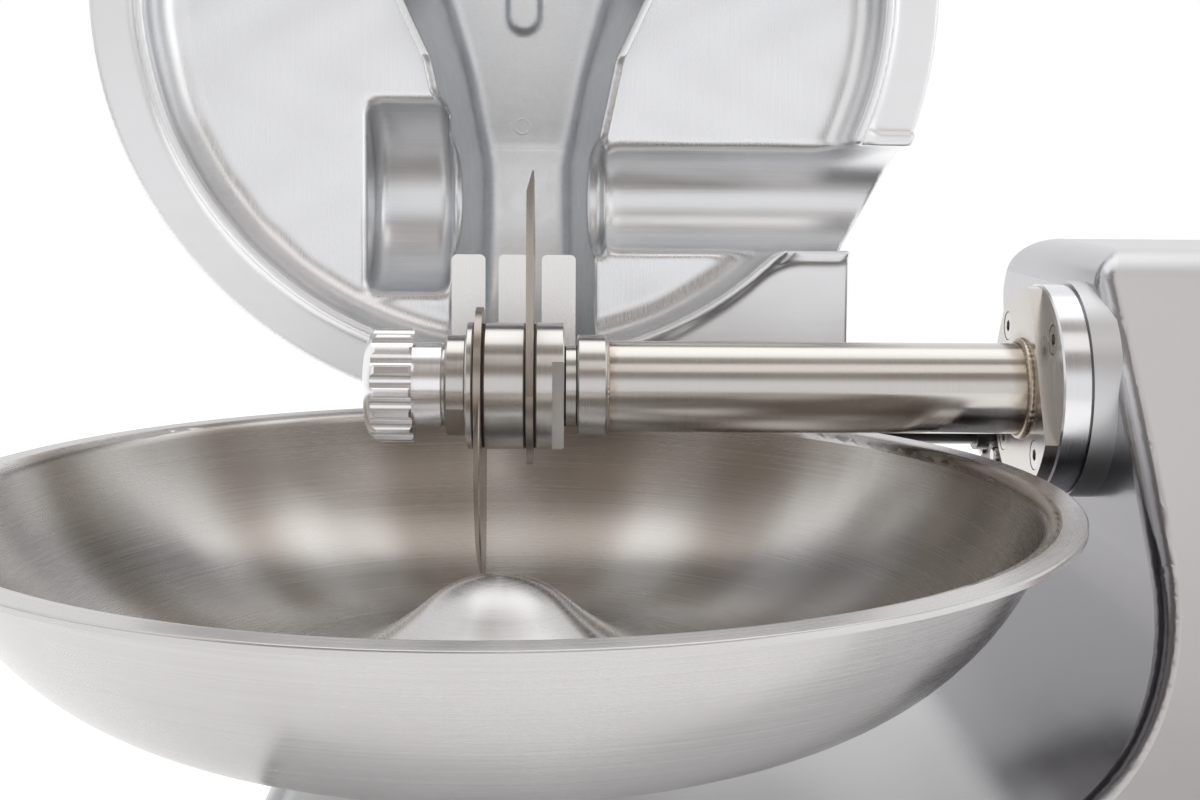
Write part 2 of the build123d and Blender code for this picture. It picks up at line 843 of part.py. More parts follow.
def knife(x0, angle):
    """A hooked blade with a hexagonal eye; its tip looks along angle, from +Z towards +Y."""
    hook = radians(knife_hook)
    tip = (-knife_radius * sin(hook), knife_radius * cos(hook))
    edges = [
        ThreePointArc((knife_heel, 0), (knife_heel * 0.94, knife_radius * 0.56), tip),
        ThreePointArc(tip, (-knife_heel * 1.02, knife_radius * 0.5), (-knife_heel, 0)),
        ThreePointArc((-knife_heel, 0), (0, -knife_heel), (knife_heel, 0)),
    ]
    outline = make_face(edges) - RegularPolygon(hex_across / 2 + seat_gap, 6, major_radius=False)
    blade = extrude(outline, knife_thickness)
    face = blade.faces().sort_by(Axis.Z)[0]

    def off_the_edge(edge):
        centre = edge @ 0.5
        return hypot(centre.X - knife_heel, centre.Y - knife_radius * 0.56)

    cutting = min(face.edges(), key=off_the_edge)
    blade = chamfer(cutting, knife_bevel, knife_thickness - knife_edge, reference=face)
    return Pos(x0, shaft_y, shaft_z) * Rot(angle, 0, 0) * Plane.YZ.location * blade


def knife_seals():
    faces = [knife_left_x - seal_length, knife_left_x + knife_thickness]
    faces += [knife_right_x - seal_length, knife_right_x + knife_thickness]
    rings = [x_tube(collar_radius - 0.7, seal_inner, x, x + seal_length) for x in faces]
    neck = inner_collar_x + inner_collar_length
    rings.append(x_tube(neck_radius - 0.5, shaft_radius, neck, neck_start))
    return group(rings)


def neck_sleeve():
    return x_tube(neck_radius, shaft_radius, neck_start, neck_end)


def clamp_nut():
    nut = x_rod(nut_radius, nut_x, end_collar_x)
    nut = chamfer(nut.edges().filter_by(GeomType.CIRCLE), 1.0)
    nut = two_flats(nut, nut_flats, 235, nut_x - 1, end_collar_x - 0.8)
    return nut - x_rod(thread_radius, nut_x - 1, end_collar_x + 1)


def hand_knob():
    """Scalloped knob with a smooth domed face and a round hub."""
    grip = Circle(knob_radius)
    for i in range(knob_lobes):
        a = radians(360 * (i + 0.5) / knob_lobes)
        reach = knob_radius + knob_scallop * 0.62
        grip = grip - Pos(reach * cos(a), reach * sin(a)) * Circle(knob_scallop)
    grip = along_x(Pos(shaft_y, shaft_z) * grip, knob_x + knob_face, knob_hub_x)
    profile = [
        Line((0, knob_x), (knob_radius * 0.62, knob_x)),
        ThreePointArc(
            (knob_radius * 0.62, knob_x),
            (knob_radius * 0.88, knob_x + 2.2),
            (knob_radius, knob_x + knob_face + 2),
        ),
        Line((knob_radius, knob_x + knob_face + 2), (knob_radius, knob_hub_x - 1.2)),
        Line((knob_radius, knob_hub_x - 1.2), (knob_radius - 1.2, knob_hub_x)),
        Line((knob_radius - 1.2, knob_hub_x), (0, knob_hub_x)),
        Line((0, knob_hub_x), (0, knob_x)),
    ]
    form = Pos(0, shaft_y, shaft_z) * Rot(0, 90, 0) * turned(profile)
    cap = form & x_rod(knob_radius + 1, knob_x, knob_x + knob_face)
    knob = (form & grip) + cap
    hub = x_rod(knob_hub_radius, knob_hub_x, washer_x)
    hub = chamfer(hub.edges().filter_by(GeomType.CIRCLE).sort_by(Axis.X)[-1:], 0.8)
    return knob + hub - x_rod(thread_radius, knob_x + 8, washer_x + 1)


def knob_washer():
    return x_tube(knob_hub_radius - 1, thread_radius, washer_x, nut_x)


def pulley(x0, radius, bore, y, z):
    """A grooved belt pulley with a rim flange on both sides."""
    wheel = x_rod(radius, x0, x0 + belt_width, y, z)
    wheel = wheel + x_rod(radius + pulley_rim, x0 - pulley_flange, x0, y, z)
    wheel = wheel + x_rod(radius + pulley_rim, x0 + belt_width, x0 + belt_width + pulley_flange, y, z)
    return wheel - x_rod(bore, x0 - 9, x0 + belt_width + 9, y, z)


def belt_loop(a, b, x0, x1):
    """A belt round two pulleys given as (y, z, radius)."""
    loops = []
    for grow in (body_gap + belt_thickness, body_gap):
        rounds = [Pos(y, z) * Circle(radius + grow) for y, z, radius in (a, b)]
        loops.append(Sketch() + make_hull(rounds[0].edges() + rounds[1].edges()))
    return along_x(loops[0] - loops[1], x0 + body_gap, x1 - body_gap)


# ---------------------------------------------------------------- drive
def drive_plate():
    plate = along_x(side_outline(housing_wall + body_gap), drive_plate_x, plate_right)
    over_posts = housing_bottom + post_height + 2
    plate = plate - block(drive_plate_x - 1, plate_right + 1, -far, far, 0, over_posts)
    plate = plate - x_rod(motor_pilot, drive_plate_x - 1, plate_right + 1, motor_y, motor_z)
    plate = plate - x_rod(shaft_radius + shaft_space, drive_plate_x - 1, plate_right + 1)
    plate = plate - x_rod(worm_bearing_radius, drive_plate_x - 1, plate_right + 1, -worm_offset, worm_z)
    for y, z in motor_bolts():
        plate = plate - x_rod(m8_radius + seat_gap, drive_plate_x - 1, plate_right + 1, y, z)
    for y, z in rib_points() + bearing_bolts():
        plate = plate - x_rod(m5_radius + seat_gap, drive_plate_x - 1, plate_right + 1, y, z)
    window = Pos(window_y, window_z) * RectangleRounded(window_width, window_height, window_corner)
    return plate - along_x(window, drive_plate_x - 1, plate_right + 1)


def motor_bolts():
    return circle_points(motor_face_radius - 8, (60, 120, 240, 300), motor_y, motor_z)


def motor_body():
    profile = Circle(motor_radius)
    for i in range(motor_fins):
        fin = Pos(motor_radius, 0) * Rectangle(2 * motor_fin, 2.4)
        profile = profile + Rot(0, 0, 360 * i / motor_fins) * fin
    body = along_x(Pos(motor_y, motor_z) * profile, motor_back, drive_plate_x - motor_face)
    body = body + x_rod(motor_face_radius, drive_plate_x - motor_face, drive_plate_x, motor_y, motor_z)
    box_x = drive_plate_x - motor_face - terminal_offset
    top = motor_z + motor_radius
    half = terminal_width / 2
    box_top = top + terminal_height
    box = block(box_x - terminal_length, box_x, motor_y - half, motor_y + half, top - 12, box_top)
    body = body + box
    body = body - x_rod(motor_shaft_radius + running_fit, motor_back - 1, drive_plate_x + 1, motor_y, motor_z)
    for y, z in motor_bolts():
        body = body - x_rod(m8_radius, drive_plate_x - motor_face - 1, drive_plate_x + 1, y, z)
    return body


def motor_fan_cover():
    """A pressed cup over the fan, with a ring of air slots."""
    start = motor_back - fan_cover_length
    radius = motor_radius + fan_cover_wall
    cup = x_rod(radius, start, motor_back, motor_y, motor_z)
    cup = fillet(cup.edges().filter_by(GeomType.CIRCLE).sort_by(Axis.X)[:1], air_hole_radius)
    cup = cup - x_rod(radius - fan_cover_wall, start + fan_cover_wall, motor_back + 1, motor_y, motor_z)
    for y, z in circle_points(radius * 0.6, range(0, 360, 30), motor_y, motor_z):
        cup = cup - x_rod(air_hole_radius, start - 1, start + fan_cover_wall + 1, y, z)
    return cup


def motor_fan():
    x0 = motor_back - fan_cover_length + fan_in_cover
    x1 = x0 + fan_hub_length
    middle = fan_hub_radius - fan_blade_wall + fan_blade_length / 2 - 2
    flat = Box(fan_blade_width, fan_blade_wall, fan_blade_length)
    hub = x_rod(fan_hub_radius, x0, x1, motor_y, motor_z)
    for i in range(fan_blades):
        blade = Pos((x0 + x1) / 2, 0, middle) * Rot(0, 0, fan_pitch) * flat
        hub = hub + Pos(0, motor_y, motor_z) * Rot(360 * i / fan_blades, 0, 0) * blade
    return hub - x_rod(motor_shaft_radius, x0 - 1, x1 + 1, motor_y, motor_z)


def motor_shaft():
    start = motor_back - fan_cover_length + fan_in_cover - 2
    return x_rod(motor_shaft_radius, start, large_belt_x + belt_width + 4, motor_y, motor_z)


def motor_pulley():
    large = pulley(large_belt_x, motor_pulley_radius, motor_shaft_radius, motor_y, motor_z)
    small = pulley(small_belt_x, motor_small_radius, motor_shaft_radius, motor_y, motor_z)
    hub_start = small_belt_x + belt_width + pulley_flange
    hub = x_tube(pulley_hub_radius, motor_shaft_radius, hub_start, large_belt_x - pulley_flange, motor_y, motor_z)
    return large + small + hub


def bowl_gearbox():
    half = gearbox_half_x
    body = block(-half, half, -gearbox_front, gearbox_back, gearbox_bottom, gearbox_top)
    body = fillet(body.edges().filter_by(Axis.Z), gearbox_corner)
    body = body + z_rod(gearbox_neck_radius, gearbox_top - 1, base_inside)
    body = body + z_rod(gearbox_flange_radius, base_inside - gearbox_flange, base_inside)
    body = body + z_rod(spindle_boss_radius, base_inside - 1, boss_top - seal_ring)
    body = body - z_rod(spindle_radius + running_fit, base_height - spindle_depth, boss_top + 1)
    body = body - x_rod(worm_radius + running_fit, gearbox_wall - half, half + 1, -worm_offset, worm_z)
    for x, y in circle_points(gearbox_bolt_circle, (45, 135, 225, 315)):
        body = body - z_rod(m8_radius + seat_gap, base_inside - gearbox_flange - 1, base_inside + 1, x, y)
    return body


def spindle_seal():
    return z_tube(spindle_boss_radius, spindle_radius + body_gap, boss_top - seal_ring, boss_top)


def drive_screws():
    """Screws of the gearbox, motor, drive plate and rear bearing."""
    seat = base_inside - gearbox_flange
    screws = [
        facing_down(x, y, seat) * m8_screw(gearbox_flange + housing_wall - 1.5)
        for x, y in circle_points(gearbox_bolt_circle, (45, 135, 225, 315))
    ]
    long = m8_screw(drive_plate_thickness + motor_face - 1)
    screws += [facing_right(plate_right, y, z) * long for y, z in motor_bolts()]
    small = m5_screw(drive_plate_thickness + 7)
    screws += [facing_right(plate_right, y, z) * small for y, z in rib_points() + bearing_bolts()]
    return group(screws)


def worm_shaft():
    return x_rod(worm_radius, gearbox_wall + 2 - gearbox_half_x, small_belt_x + belt_width + 4, -worm_offset, worm_z)


# ---------------------------------------------------------------- bowl
def bowl_section(depth):
    """Edges of the bowl's section at a depth under its inner face, from the axis out to the lip."""
    bottom = shaft_z - trough_radius
    slope_z = bottom + inner_slope_radius
    rise = inner_slope_radius + bottom - (rim_height - dome_drop)
    cap = (shaft_y**2 + rise**2 - inner_slope_radius**2) / (2 * (inner_slope_radius - rise))
    cap_z = rim_height - dome_drop - cap
    lean = degrees(atan2(slope_z - cap_z, shaft_y))
    mouth = degrees(asin((shaft_rise + depth) / (trough_radius + depth)))
    lip_start = shaft_y + (trough_radius + depth) * cos(radians(mouth))
    return [
        CenterArc((0, cap_z), cap - depth, 90, lean - 90),
        CenterArc((shaft_y, slope_z), inner_slope_radius + depth, lean + 180, 90 - lean),
        CenterArc((shaft_y, shaft_z), trough_radius + depth, 270, 90 - mouth),
        Line((lip_start, rim_height - depth), (bowl_radius, rim_height - depth)),
    ]


def bowl():
    inner = bowl_section(0)
    outer = bowl_section(bowl_wall)
    axis = Line(inner[0] @ 0, outer[0] @ 0)
    edge = Line(inner[3] @ 1, outer[3] @ 1)
    section = Sketch() + make_face(inner + outer + [axis, edge])
    top, under = inner[3] @ 0, outer[3] @ 0
    section = rounded(section, [(top.X, top.Y, bowl_bend), (under.X, under.Y, bowl_bend - bowl_wall)])
    section = rounded(section, [(bowl_radius, rim_height, bowl_wall * 0.3)])
    return revolve(Plane.XZ * section, Axis.Z)


def under_bowl():
    """Everything under the bowl's centre, down to the carrier."""
    cap, slope, _, _ = bowl_section(bowl_wall)
    top, low = cap @ 0, slope @ 1
    edges = [
        cap,
        slope,
        Line((low.X, low.Y), (low.X, hub_z)),
        Line((low.X, hub_z), (0, hub_z)),
        Line((0, hub_z), (0, top.Y)),
    ]
    return turned(edges)


def drive_pins():
    return circle_points(drive_pin_circle, (90, 210, 330))


def bowl_hub():
    hub = z_rod(hub_radius, hub_z, rim_height) & under_bowl()
    hub = hub - z_rod(spindle_radius + seat_gap, hub_z - 1, hub_z + hub_height)
    for x, y in drive_pins():
        hub = hub - z_rod(drive_pin_radius + seat_gap, hub_z - 1, hub_z + drive_pin_height + 0.5, x, y)
    return hub


def bowl_carrier():
    carrier = z_rod(carrier_radius, carrier_z, hub_z)
    carrier = chamfer(carrier.edges().filter_by(GeomType.CIRCLE), 1.5)
    for x, y in drive_pins():
        pin = z_rod(drive_pin_radius, hub_z - 1, hub_z + drive_pin_height, x, y)
        carrier = carrier + chamfer(pin.edges().filter_by(GeomType.CIRCLE).sort_by(Axis.Z)[-1:], 1)
    return carrier - z_rod(spindle_radius, carrier_z - 1, hub_z + 1)


def bowl_spindle():
    top = hub_z + hub_height - 2
    spindle = z_rod(spindle_radius, base_height - spindle_depth + 1, top)
    return chamfer(spindle.edges().filter_by(GeomType.CIRCLE).sort_by(Axis.Z)[-1:], 2)


# ---------------------------------------------------------------- lid, drawn closed
def box_profile(grow=0.0):
    """Knife box section across X, drawn in (y, z): round over the knives, sloping to the front."""
    radius = knife_radius + box_clearance
    roof = shaft_z + radius
    rear = shaft_y + radius
    profile = Pos(shaft_y, shaft_z) * Circle(radius)
    low = lid_bottom - lip_depth - 1
    ahead = lid_front - box_run_out
    profile = profile + Polygon((ahead, low), (rear, low), (rear, shaft_z), (ahead, shaft_z), align=None)
    front = Polygon(
        (shaft_y, shaft_z),
        (shaft_y, roof),
        (box_seam, roof),
        (ahead, roof - box_front_drop),
        (ahead, shaft_z),
        align=None,
    )
    profile = profile + rounded(front, [(box_seam, roof, 60)])
    return offset(profile, grow) if grow else profile


def tapered(mouth, roof, grow):
    """Loft between two polygons of (x, y) at the mouth and at the roof level."""
    low = lid_bottom - lip_depth - 2
    high = shaft_z + knife_radius + box_clearance + 6
    faces = []
    for points, z in ((mouth, low), (roof, high)):
        outline = Polygon(*points, align=None)
        if grow:
            outline = offset(outline, grow, kind=Kind.INTERSECTION)
        faces.append((Pos(0, 0, z) * outline).face())
    return loft(faces, ruled=True)


def knife_box(grow=0.0):
    c = lid_centre
    front = lid_front - box_run_out
    rear = shaft_y + knife_radius + box_clearance
    mouth = [
        (c - flare_front, front),
        (c - flare_corner, flare_corner_y),
        (c - box_mouth, box_seam),
        (c - box_mouth, rear),
        (c + box_mouth, rear),
        (c + box_mouth, box_seam),
        (c + flare_corner, flare_corner_y),
        (c + flare_front, front),
    ]
    roof = [
        (c - flare_roof, front),
        (c - (flare_roof + 2 * box_roof) / 3, flare_corner_y),
        (c - box_roof, box_seam),
        (c - box_roof, rear),
        (c + box_roof, rear),
        (c + box_roof, box_seam),
        (c + (flare_roof + 2 * box_roof) / 3, flare_corner_y),
        (c + flare_roof, front),
    ]
    return tapered(mouth, roof, grow) & along_x(box_profile(grow), -lid_radius, lid_radius)


def half_pipe(radius, x0, x1):
    """A trough open downwards, round the knife shaft's axis."""
    low = lid_bottom - lip_depth - 1
    return x_rod(radius, x0, x1) + block(x0, x1, shaft_y - radius, shaft_y + radius, low, shaft_z)


def above(z, shape):
    return shape & block(-far, far, -far, far, z, far)


def lid_casting():
    top = lid_bottom + dish_height
    plate_top = lid_bottom + lid_flange
    dish = z_rod(lip_outer, lid_bottom, top + lid_wall)
    dish = fillet(dish.edges().filter_by(GeomType.CIRCLE).sort_by(Axis.Z)[-1:], dish_round + lid_wall)
    body = dish + z_rod(lid_radius, lid_bottom, plate_top)
    body = body + block(0, ear_edge, ear_start, ear_back, lid_bottom, plate_top)
    disc = z_rod(lid_radius, lid_bottom, far)
    shells = knife_box(lid_wall)
    shells = shells + half_pipe(channel_radius + lid_wall, channel_start - lid_wall, lid_radius + 5)
    shells = shells + half_pipe(pocket_radius + lid_wall, pocket_left - lid_wall, pocket_right + lid_wall)
    body = body + (shells & disc)
    pad = 8
    pad_top = plate_top + comb_pad_height
    rear = comb_back + 2
    body = body + block(comb_left - pad, comb_right + pad, comb_root - 6, rear, lid_bottom, pad_top)
    for x0 in (lug_left, ear_edge - lug_width):
        x1 = x0 + lug_width
        body = body + x_rod(lug_radius, x0, x1, hinge_y, hinge_z)
        body = body + block(x0, x1, hinge_y - lug_radius, hinge_y + lug_radius, hinge_z, plate_top)
    keep = block(-far, far, lid_front, far, 0, far)
    body = body & keep
    inside = z_rod(lip_outer - lip_width, lid_bottom - 20, top)
    inside = fillet(inside.edges().filter_by(GeomType.CIRCLE).sort_by(Axis.Z)[-1:], dish_round)
    behind_front = block(-far, far, lid_front + lid_wall, far, 0, far)
    inside = inside & behind_front
    channels = half_pipe(channel_radius, channel_start, lid_radius + 10)
    channels = channels + half_pipe(pocket_radius, pocket_left, pocket_right)
    channels = channels + half_pipe(collar_passage, pocket_right - 5, channel_start + 2)
    box = knife_box() & behind_front
    lip = z_tube(lip_outer, lip_outer - lip_width, lid_bottom - lip_depth, lid_bottom + 1)
    lip = lip & keep
    before_seam = block(-far, far, lid_front, box_seam, 0, top + 1)
    deflector = above(lid_bottom, (knife_box(deflector_wall) - knife_box()) & before_seam)
    body = body + lip - (inside - deflector)
    body = body - channels - box
    left = comb_left - seat_gap
    right = comb_right + seat_gap
    comb_seat = block(left, right, comb_root - 4, comb_back + seat_gap, 0, comb_top)
    body = body - comb_seat
    body = body - x_rod(hinge_radius, 0, ear_edge + 1, hinge_y, hinge_z)
    between = (lug_left + lug_width, ear_edge - lug_width)
    body = body - block(*between, hinge_y - lug_radius - 8, far, 0, lid_bottom)
    for x, y in comb_points():
        body = body - z_rod(m4_radius, comb_top - 1, comb_top + 8, x, y)
    for x, y, z in handle_points():
        body = body - z_rod(m4_radius, 0, z + 1, x, y)
    for x in lug_screw_x():
        body = body - z_rod(m5_radius, hinge_z, plate_top + 9, x, hinge_y)
    return body


def comb_points():
    y = (comb_root + comb_back) / 2
    return [(comb_left + 8, y), (comb_right - 8, y)]


def comb():
    """Three fingers that reach between the knives and scrape the meat off them."""
    width = comb_right - comb_left
    centre = Pos((comb_left + comb_right) / 2, (comb_root + comb_back) / 2)
    sketch = centre * Rectangle(width, comb_seat_depth)
    gaps = [
        comb_left,
        knife_left_x - comb_clearance,
        knife_left_x + knife_thickness + comb_clearance,
        knife_right_x - comb_clearance,
        knife_right_x + knife_thickness + comb_clearance,
        comb_right,
    ]
    for left, right in zip(gaps[::2], gaps[1::2]):
        reach = comb_root - comb_tip + 2
        finger = Pos((left + right) / 2, (comb_tip + comb_root) / 2 + 1) * Rectangle(right - left, reach)
        finger = rounded(finger, [(left, comb_tip, comb_corner), (right, comb_tip, comb_corner)])
        sketch = sketch + finger
    for x, y in comb_points():
        sketch = sketch - Pos(x, y) * Circle(m4_radius + seat_gap)
    return Pos(0, 0, comb_top - comb_thickness) * extrude(sketch, comb_thickness)


def comb_screws():
    """Low heads under the comb, threaded up into the lid's pad."""
    screw = button_head(m4_head_radius, 1.2) + Pos(0, 0, -4.5) * Cylinder(m4_radius, 9)
    return group([facing_down(x, y, comb_top - comb_thickness) * screw for x, y in comb_points()])


def handle_points():
    top = lid_bottom + dish_height + lid_wall
    half = handle_length / 2 - 12
    return [(handle_x - half, handle_y, top), (handle_x + half, handle_y, top)]


def lid_handle():
    bar_z = handle_points()[0][2] + handle_height
    half = handle_length / 2
    bar = x_rod(handle_radius, handle_x - half, handle_x + half, handle_y, bar_z)
    bar = fillet(bar.edges().filter_by(GeomType.CIRCLE), 4)
    for x, y, z in handle_points():
        bar = bar + z_rod(7, z, bar_z, x, y) - z_rod(m4_radius, z - 1, z + 8, x, y)
    return bar


def lug_screw_x():
    return [lug_left + lug_width / 2, ear_edge - lug_width / 2]


def lid_screws():
    """Handle screws from inside the lid, and the set screws that pin the hinge shaft."""
    inside = lid_bottom + dish_height
    screw = headed_screw(m4_head_radius, m4_head_height, m4_radius, lid_wall + 7)
    screws = [facing_down(x, y, inside) * screw for x, y, _ in handle_points()]
    top = lid_bottom + lid_flange
    low = hinge_z + hinge_radius
    for x in lug_screw_x():
        screws.append(Pos(x, hinge_y, top) * m5_screw(top - low))
    return group(screws)


def hinge_shaft():
    shaft = x_rod(hinge_radius, lug_left - 3, hinge_sleeve_end + cam_width + 3, hinge_y, hinge_z)
    shaft = chamfer(shaft.edges().filter_by(GeomType.CIRCLE), 1)
    stop = hinge_flange_x - m5_head_height - body_gap
    return shaft + x_rod(hinge_collar_radius, stop - hinge_collar_length, stop, hinge_y, hinge_z)


def hinge_cam():
    """The cam that lets the safety switch close only when the lid is down."""
    start = hinge_sleeve_end + body_gap
    cam = x_tube(cam_radius, hinge_radius, start, start + cam_width, hinge_y, hinge_z)
    end = start + cam_width + 1
    notch = hinge_y - cam_radius + cam_notch
    half = cam_notch_width / 2
    return cam - block(start - 1, end, notch - cam_radius, notch, hinge_z - half, hinge_z + half)


def hinge_sleeve():
    plate = Pos(hinge_y, hinge_z) * RectangleRounded(hinge_flange_size, hinge_flange_size, 5)
    sleeve = along_x(plate, hinge_flange_x, hinge_flange_x + hinge_flange_length)
    sleeve = sleeve + x_rod(hinge_sleeve_radius, hinge_flange_x, hinge_sleeve_end, hinge_y, hinge_z)
    bore = hinge_radius + running_fit
    sleeve = sleeve - x_rod(bore, hinge_flange_x - 1, hinge_sleeve_end + 1, hinge_y, hinge_z)
    for y, z in hinge_bolts():
        end = hinge_flange_x + hinge_flange_length + 1
        sleeve = sleeve - x_rod(m5_radius, hinge_flange_x - 1, end, y, z)
    return sleeve


def safety_switch():
    x = hinge_sleeve_end + body_gap + cam_width / 2
    top = hinge_z - cam_radius - plunger_length
    back = housing_back - housing_wall
    half = switch_width / 2
    body = block(x - half, x + half, back - safety_switch_depth, back, top - switch_height, top)
    plunger = z_rod(plunger_radius, top - 1, hinge_z - cam_radius - body_gap, x, hinge_y)
    return body + plunger


# ---------------------------------------------------------------- controls
def control_panel():
    panel = RectangleRounded(panel_width, panel_height, 6)
    for row in control_rows.values():
        panel = panel - Pos(0, row) * Circle(bezel_neck + seat_gap)
    for x, y in panel_corners():
        panel = panel - Pos(x, y) * Circle(m4_radius + seat_gap)
    return on_panel(extrude(panel, panel_thickness))


def panel_corners():
    return [(i * (panel_width / 2 - 7), j * (panel_height / 2 - 6)) for i in (-1, 1) for j in (-1, 1)]


def panel_screws():
    screw = headed_screw(m4_head_radius, m4_head_height, m4_radius, panel_thickness)
    return group([on_panel(Pos(x, y, panel_thickness) * screw) for x, y in panel_corners()])


def button_bezels():
    bezels = []
    for row in control_rows.values():
        ring = z_rod(bezel_radius, panel_thickness, panel_thickness + bezel_height, 0, row)
        ring = chamfer(ring.edges().filter_by(GeomType.CIRCLE).sort_by(Axis.Z)[-1:], 1.2)
        neck = z_rod(bezel_neck, -bezel_depth, panel_thickness + 1, 0, row)
        bore = z_rod(button_radius + body_gap, 0, panel_thickness + bezel_height + 1, 0, row)
        hole = z_rod(stem_radius + body_gap, -bezel_depth - 1, 1, 0, row)
        bezels.append(on_panel(ring + neck - bore - hole))
    return group(bezels)


def switch_blocks():
    half = bezel_neck
    low = -bezel_depth - switch_depth
    rows = control_rows.values()
    return group([on_panel(block(-half, half, row - half, row + half, low, -bezel_depth)) for row in rows])


def push_button(row, cap_radius, cap_low, cap_high):
    """A cap on a stem; pushed in, it stops short of the switch block."""
    base = button_travel + body_gap
    button = z_rod(button_radius, base, cap_high, 0, row)
    if cap_radius > button_radius:
        button = z_rod(button_radius, base, cap_low + 1, 0, row)
        button = button + z_rod(cap_radius, cap_low, cap_high, 0, row)
    rim = button.edges().filter_by(GeomType.CIRCLE).sort_by(Axis.Z)[-1:]
    button = fillet(rim, 2)
    stem = z_rod(stem_radius, -bezel_depth + button_travel + body_gap, base + 1, 0, row)
    return on_panel(button + stem)


def speed_selector():
    row = control_rows["selector"]
    low = panel_thickness + bezel_height + body_gap
    knob = z_rod(selector_radius, low, low + 8, 0, row)
    knob = chamfer(knob.edges().filter_by(GeomType.CIRCLE).sort_by(Axis.Z)[-1:], 1)
    knob = knob + block(-3, 3, row - selector_radius + 1, row + selector_radius - 1, low + 7, low + 16)
    return on_panel(knob + z_rod(stem_radius, -bezel_depth + body_gap, low + 1, 0, row))


def gland_rod(radius, y0, y1):
    return Pos(gland_x, (y0 + y1) / 2, gland_z) * Rot(90, 0, 0) * Cylinder(radius, y1 - y0)


def cable_gland():
    """Inlet for the supply cable, through the back of the housing."""
    hexagon = Pos(gland_x, gland_z) * RegularPolygon(gland_hex / 2, 6, major_radius=False)
    inside = housing_back - housing_wall
    body = along_y(hexagon, housing_back, housing_back + gland_flange)
    body = body + gland_rod(gland_neck, inside - gland_nut - 1, housing_back + 1)
    dome = gland_rod(gland_neck + 1, housing_back + gland_flange - 1, housing_back + gland_reach)
    body = body + chamfer(dome.edges().filter_by(GeomType.CIRCLE).sort_by(Axis.Y)[-1:], 3)
    nut = along_y(hexagon, inside - gland_nut, inside)
    return body + nut - gland_rod(gland_bore, inside - 2 * gland_nut, housing_back + gland_reach + 1)


# ---------------------------------------------------------------- assembly
def opened(shape):
    """Turn a lid piece from its closed place to its open one, about the hinge."""
    return Pos(0, hinge_y, hinge_z) * Rot(-hinge_open, 0, 0) * Pos(0, -hinge_y, -hinge_z) * shape


def assembly():
    front, rear, worm = bearings()
    knife_pulley = pulley(large_belt_x, knife_pulley_radius, shaft_radius, shaft_y, shaft_z)
    locknut_x = large_belt_x + belt_width + pulley_flange
    parts = {
        "housing": housing(),
        "bottom_cover": bottom_cover(),
        "side_cover": side_cover(),
        "cover_screws": cover_screws(),
        "rubber_feet": rubber_feet(),
        "drive_plate": drive_plate(),
        "drive_screws": drive_screws(),
        "motor_body": motor_body(),
        "motor_fan_cover": motor_fan_cover(),
        "bowl_gearbox": bowl_gearbox(),
        "spindle_seal": spindle_seal(),
        "shaft_tube": shaft_tube(),
        "tube_end_collar": tube_end_collar(),
        "adapter_ring": adapter_ring(),
        "flange_screws": flange_screws(),
        "shaft_seal": shaft_seal(),
        "rear_bearing_housing": rear_bearing_housing(),
        "bearing_outer_rings": group([front[1], rear[1], worm[1]]),
        "hinge_sleeve": hinge_sleeve(),
        "safety_switch": safety_switch(),
        "knife_belt": belt_loop(
            (motor_y, motor_z, motor_pulley_radius),
            (shaft_y, shaft_z, knife_pulley_radius),
            large_belt_x,
            large_belt_x + belt_width,
        ),
        "bowl_belt": belt_loop(
            (motor_y, motor_z, motor_small_radius),
            (-worm_offset, worm_z, worm_pulley_radius),
            small_belt_x,
            small_belt_x + belt_width,
        ),
        "control_panel": control_panel(),
        "panel_screws": panel_screws(),
        "button_bezels": button_bezels(),
        "switch_blocks": switch_blocks(),
        "cable_gland": cable_gland(),
        "knife_shaft": knife_shaft(),
        "knife_pulley": knife_pulley,
        "shaft_locknut": x_tube(locknut_radius, thread_radius, locknut_x, locknut_x + locknut_length),
        "inner_collar": inner_collar(),
        "right_knife": knife(knife_right_x, 0),
        "left_knife": knife(knife_left_x, 180),
        "knife_spacer": collar(spacer_x, spacer_length) - hex_bore(spacer_x, knife_right_x),
        "end_collar": collar(end_collar_x, end_collar_length) - hex_bore(end_collar_x, knife_left_x),
        "knife_seals": knife_seals(),
        "neck_sleeve": neck_sleeve(),
        "clamp_nut": clamp_nut(),
        "knob_washer": knob_washer(),
        "hand_knob": hand_knob(),
        "bearing_inner_rings": group([front[0], rear[0]]),
        "motor_shaft": motor_shaft(),
        "motor_pulley": motor_pulley(),
        "motor_fan": motor_fan(),
        "worm_shaft": worm_shaft() + worm[0],
        "worm_pulley": pulley(small_belt_x, worm_pulley_radius, worm_radius, -worm_offset, worm_z),
        "bowl": bowl(),
        "bowl_hub": bowl_hub(),
        "bowl_carrier": bowl_carrier(),
        "bowl_spindle": bowl_spindle(),
        "lid": opened(lid_casting()),
        "comb": opened(comb()),
        "comb_screws": opened(comb_screws()),
        "lid_handle": opened(lid_handle()),
        "lid_screws": opened(lid_screws()),
        "hinge_shaft": hinge_shaft(),
        "hinge_cam": opened(hinge_cam()),
        "start_button": push_button(control_rows["start"], button_radius, 0, 9),
        "stop_button": push_button(control_rows["stop"], stop_radius, 12.5, 21),
        "speed_selector": speed_selector(),
    }
    return parts


def main():
    os.makedirs("parts", exist_ok=True)
    parts = assembly()
    boxes = [shape.bounding_box() for shape in parts.values()]
    middle_x = (min(b.min.X for b in boxes) + max(b.max.X for b in boxes)) / 2
    middle_y = (min(b.min.Y for b in boxes) + max(b.max.Y for b in boxes)) / 2
    print(f"bowl axis at x {-middle_x:.4f}, y {-middle_y:.4f}")
    for name, shape in parts.items():
        export_step(Pos(-middle_x, -middle_y, 0) * shape, f"parts/{name}.step")


main()
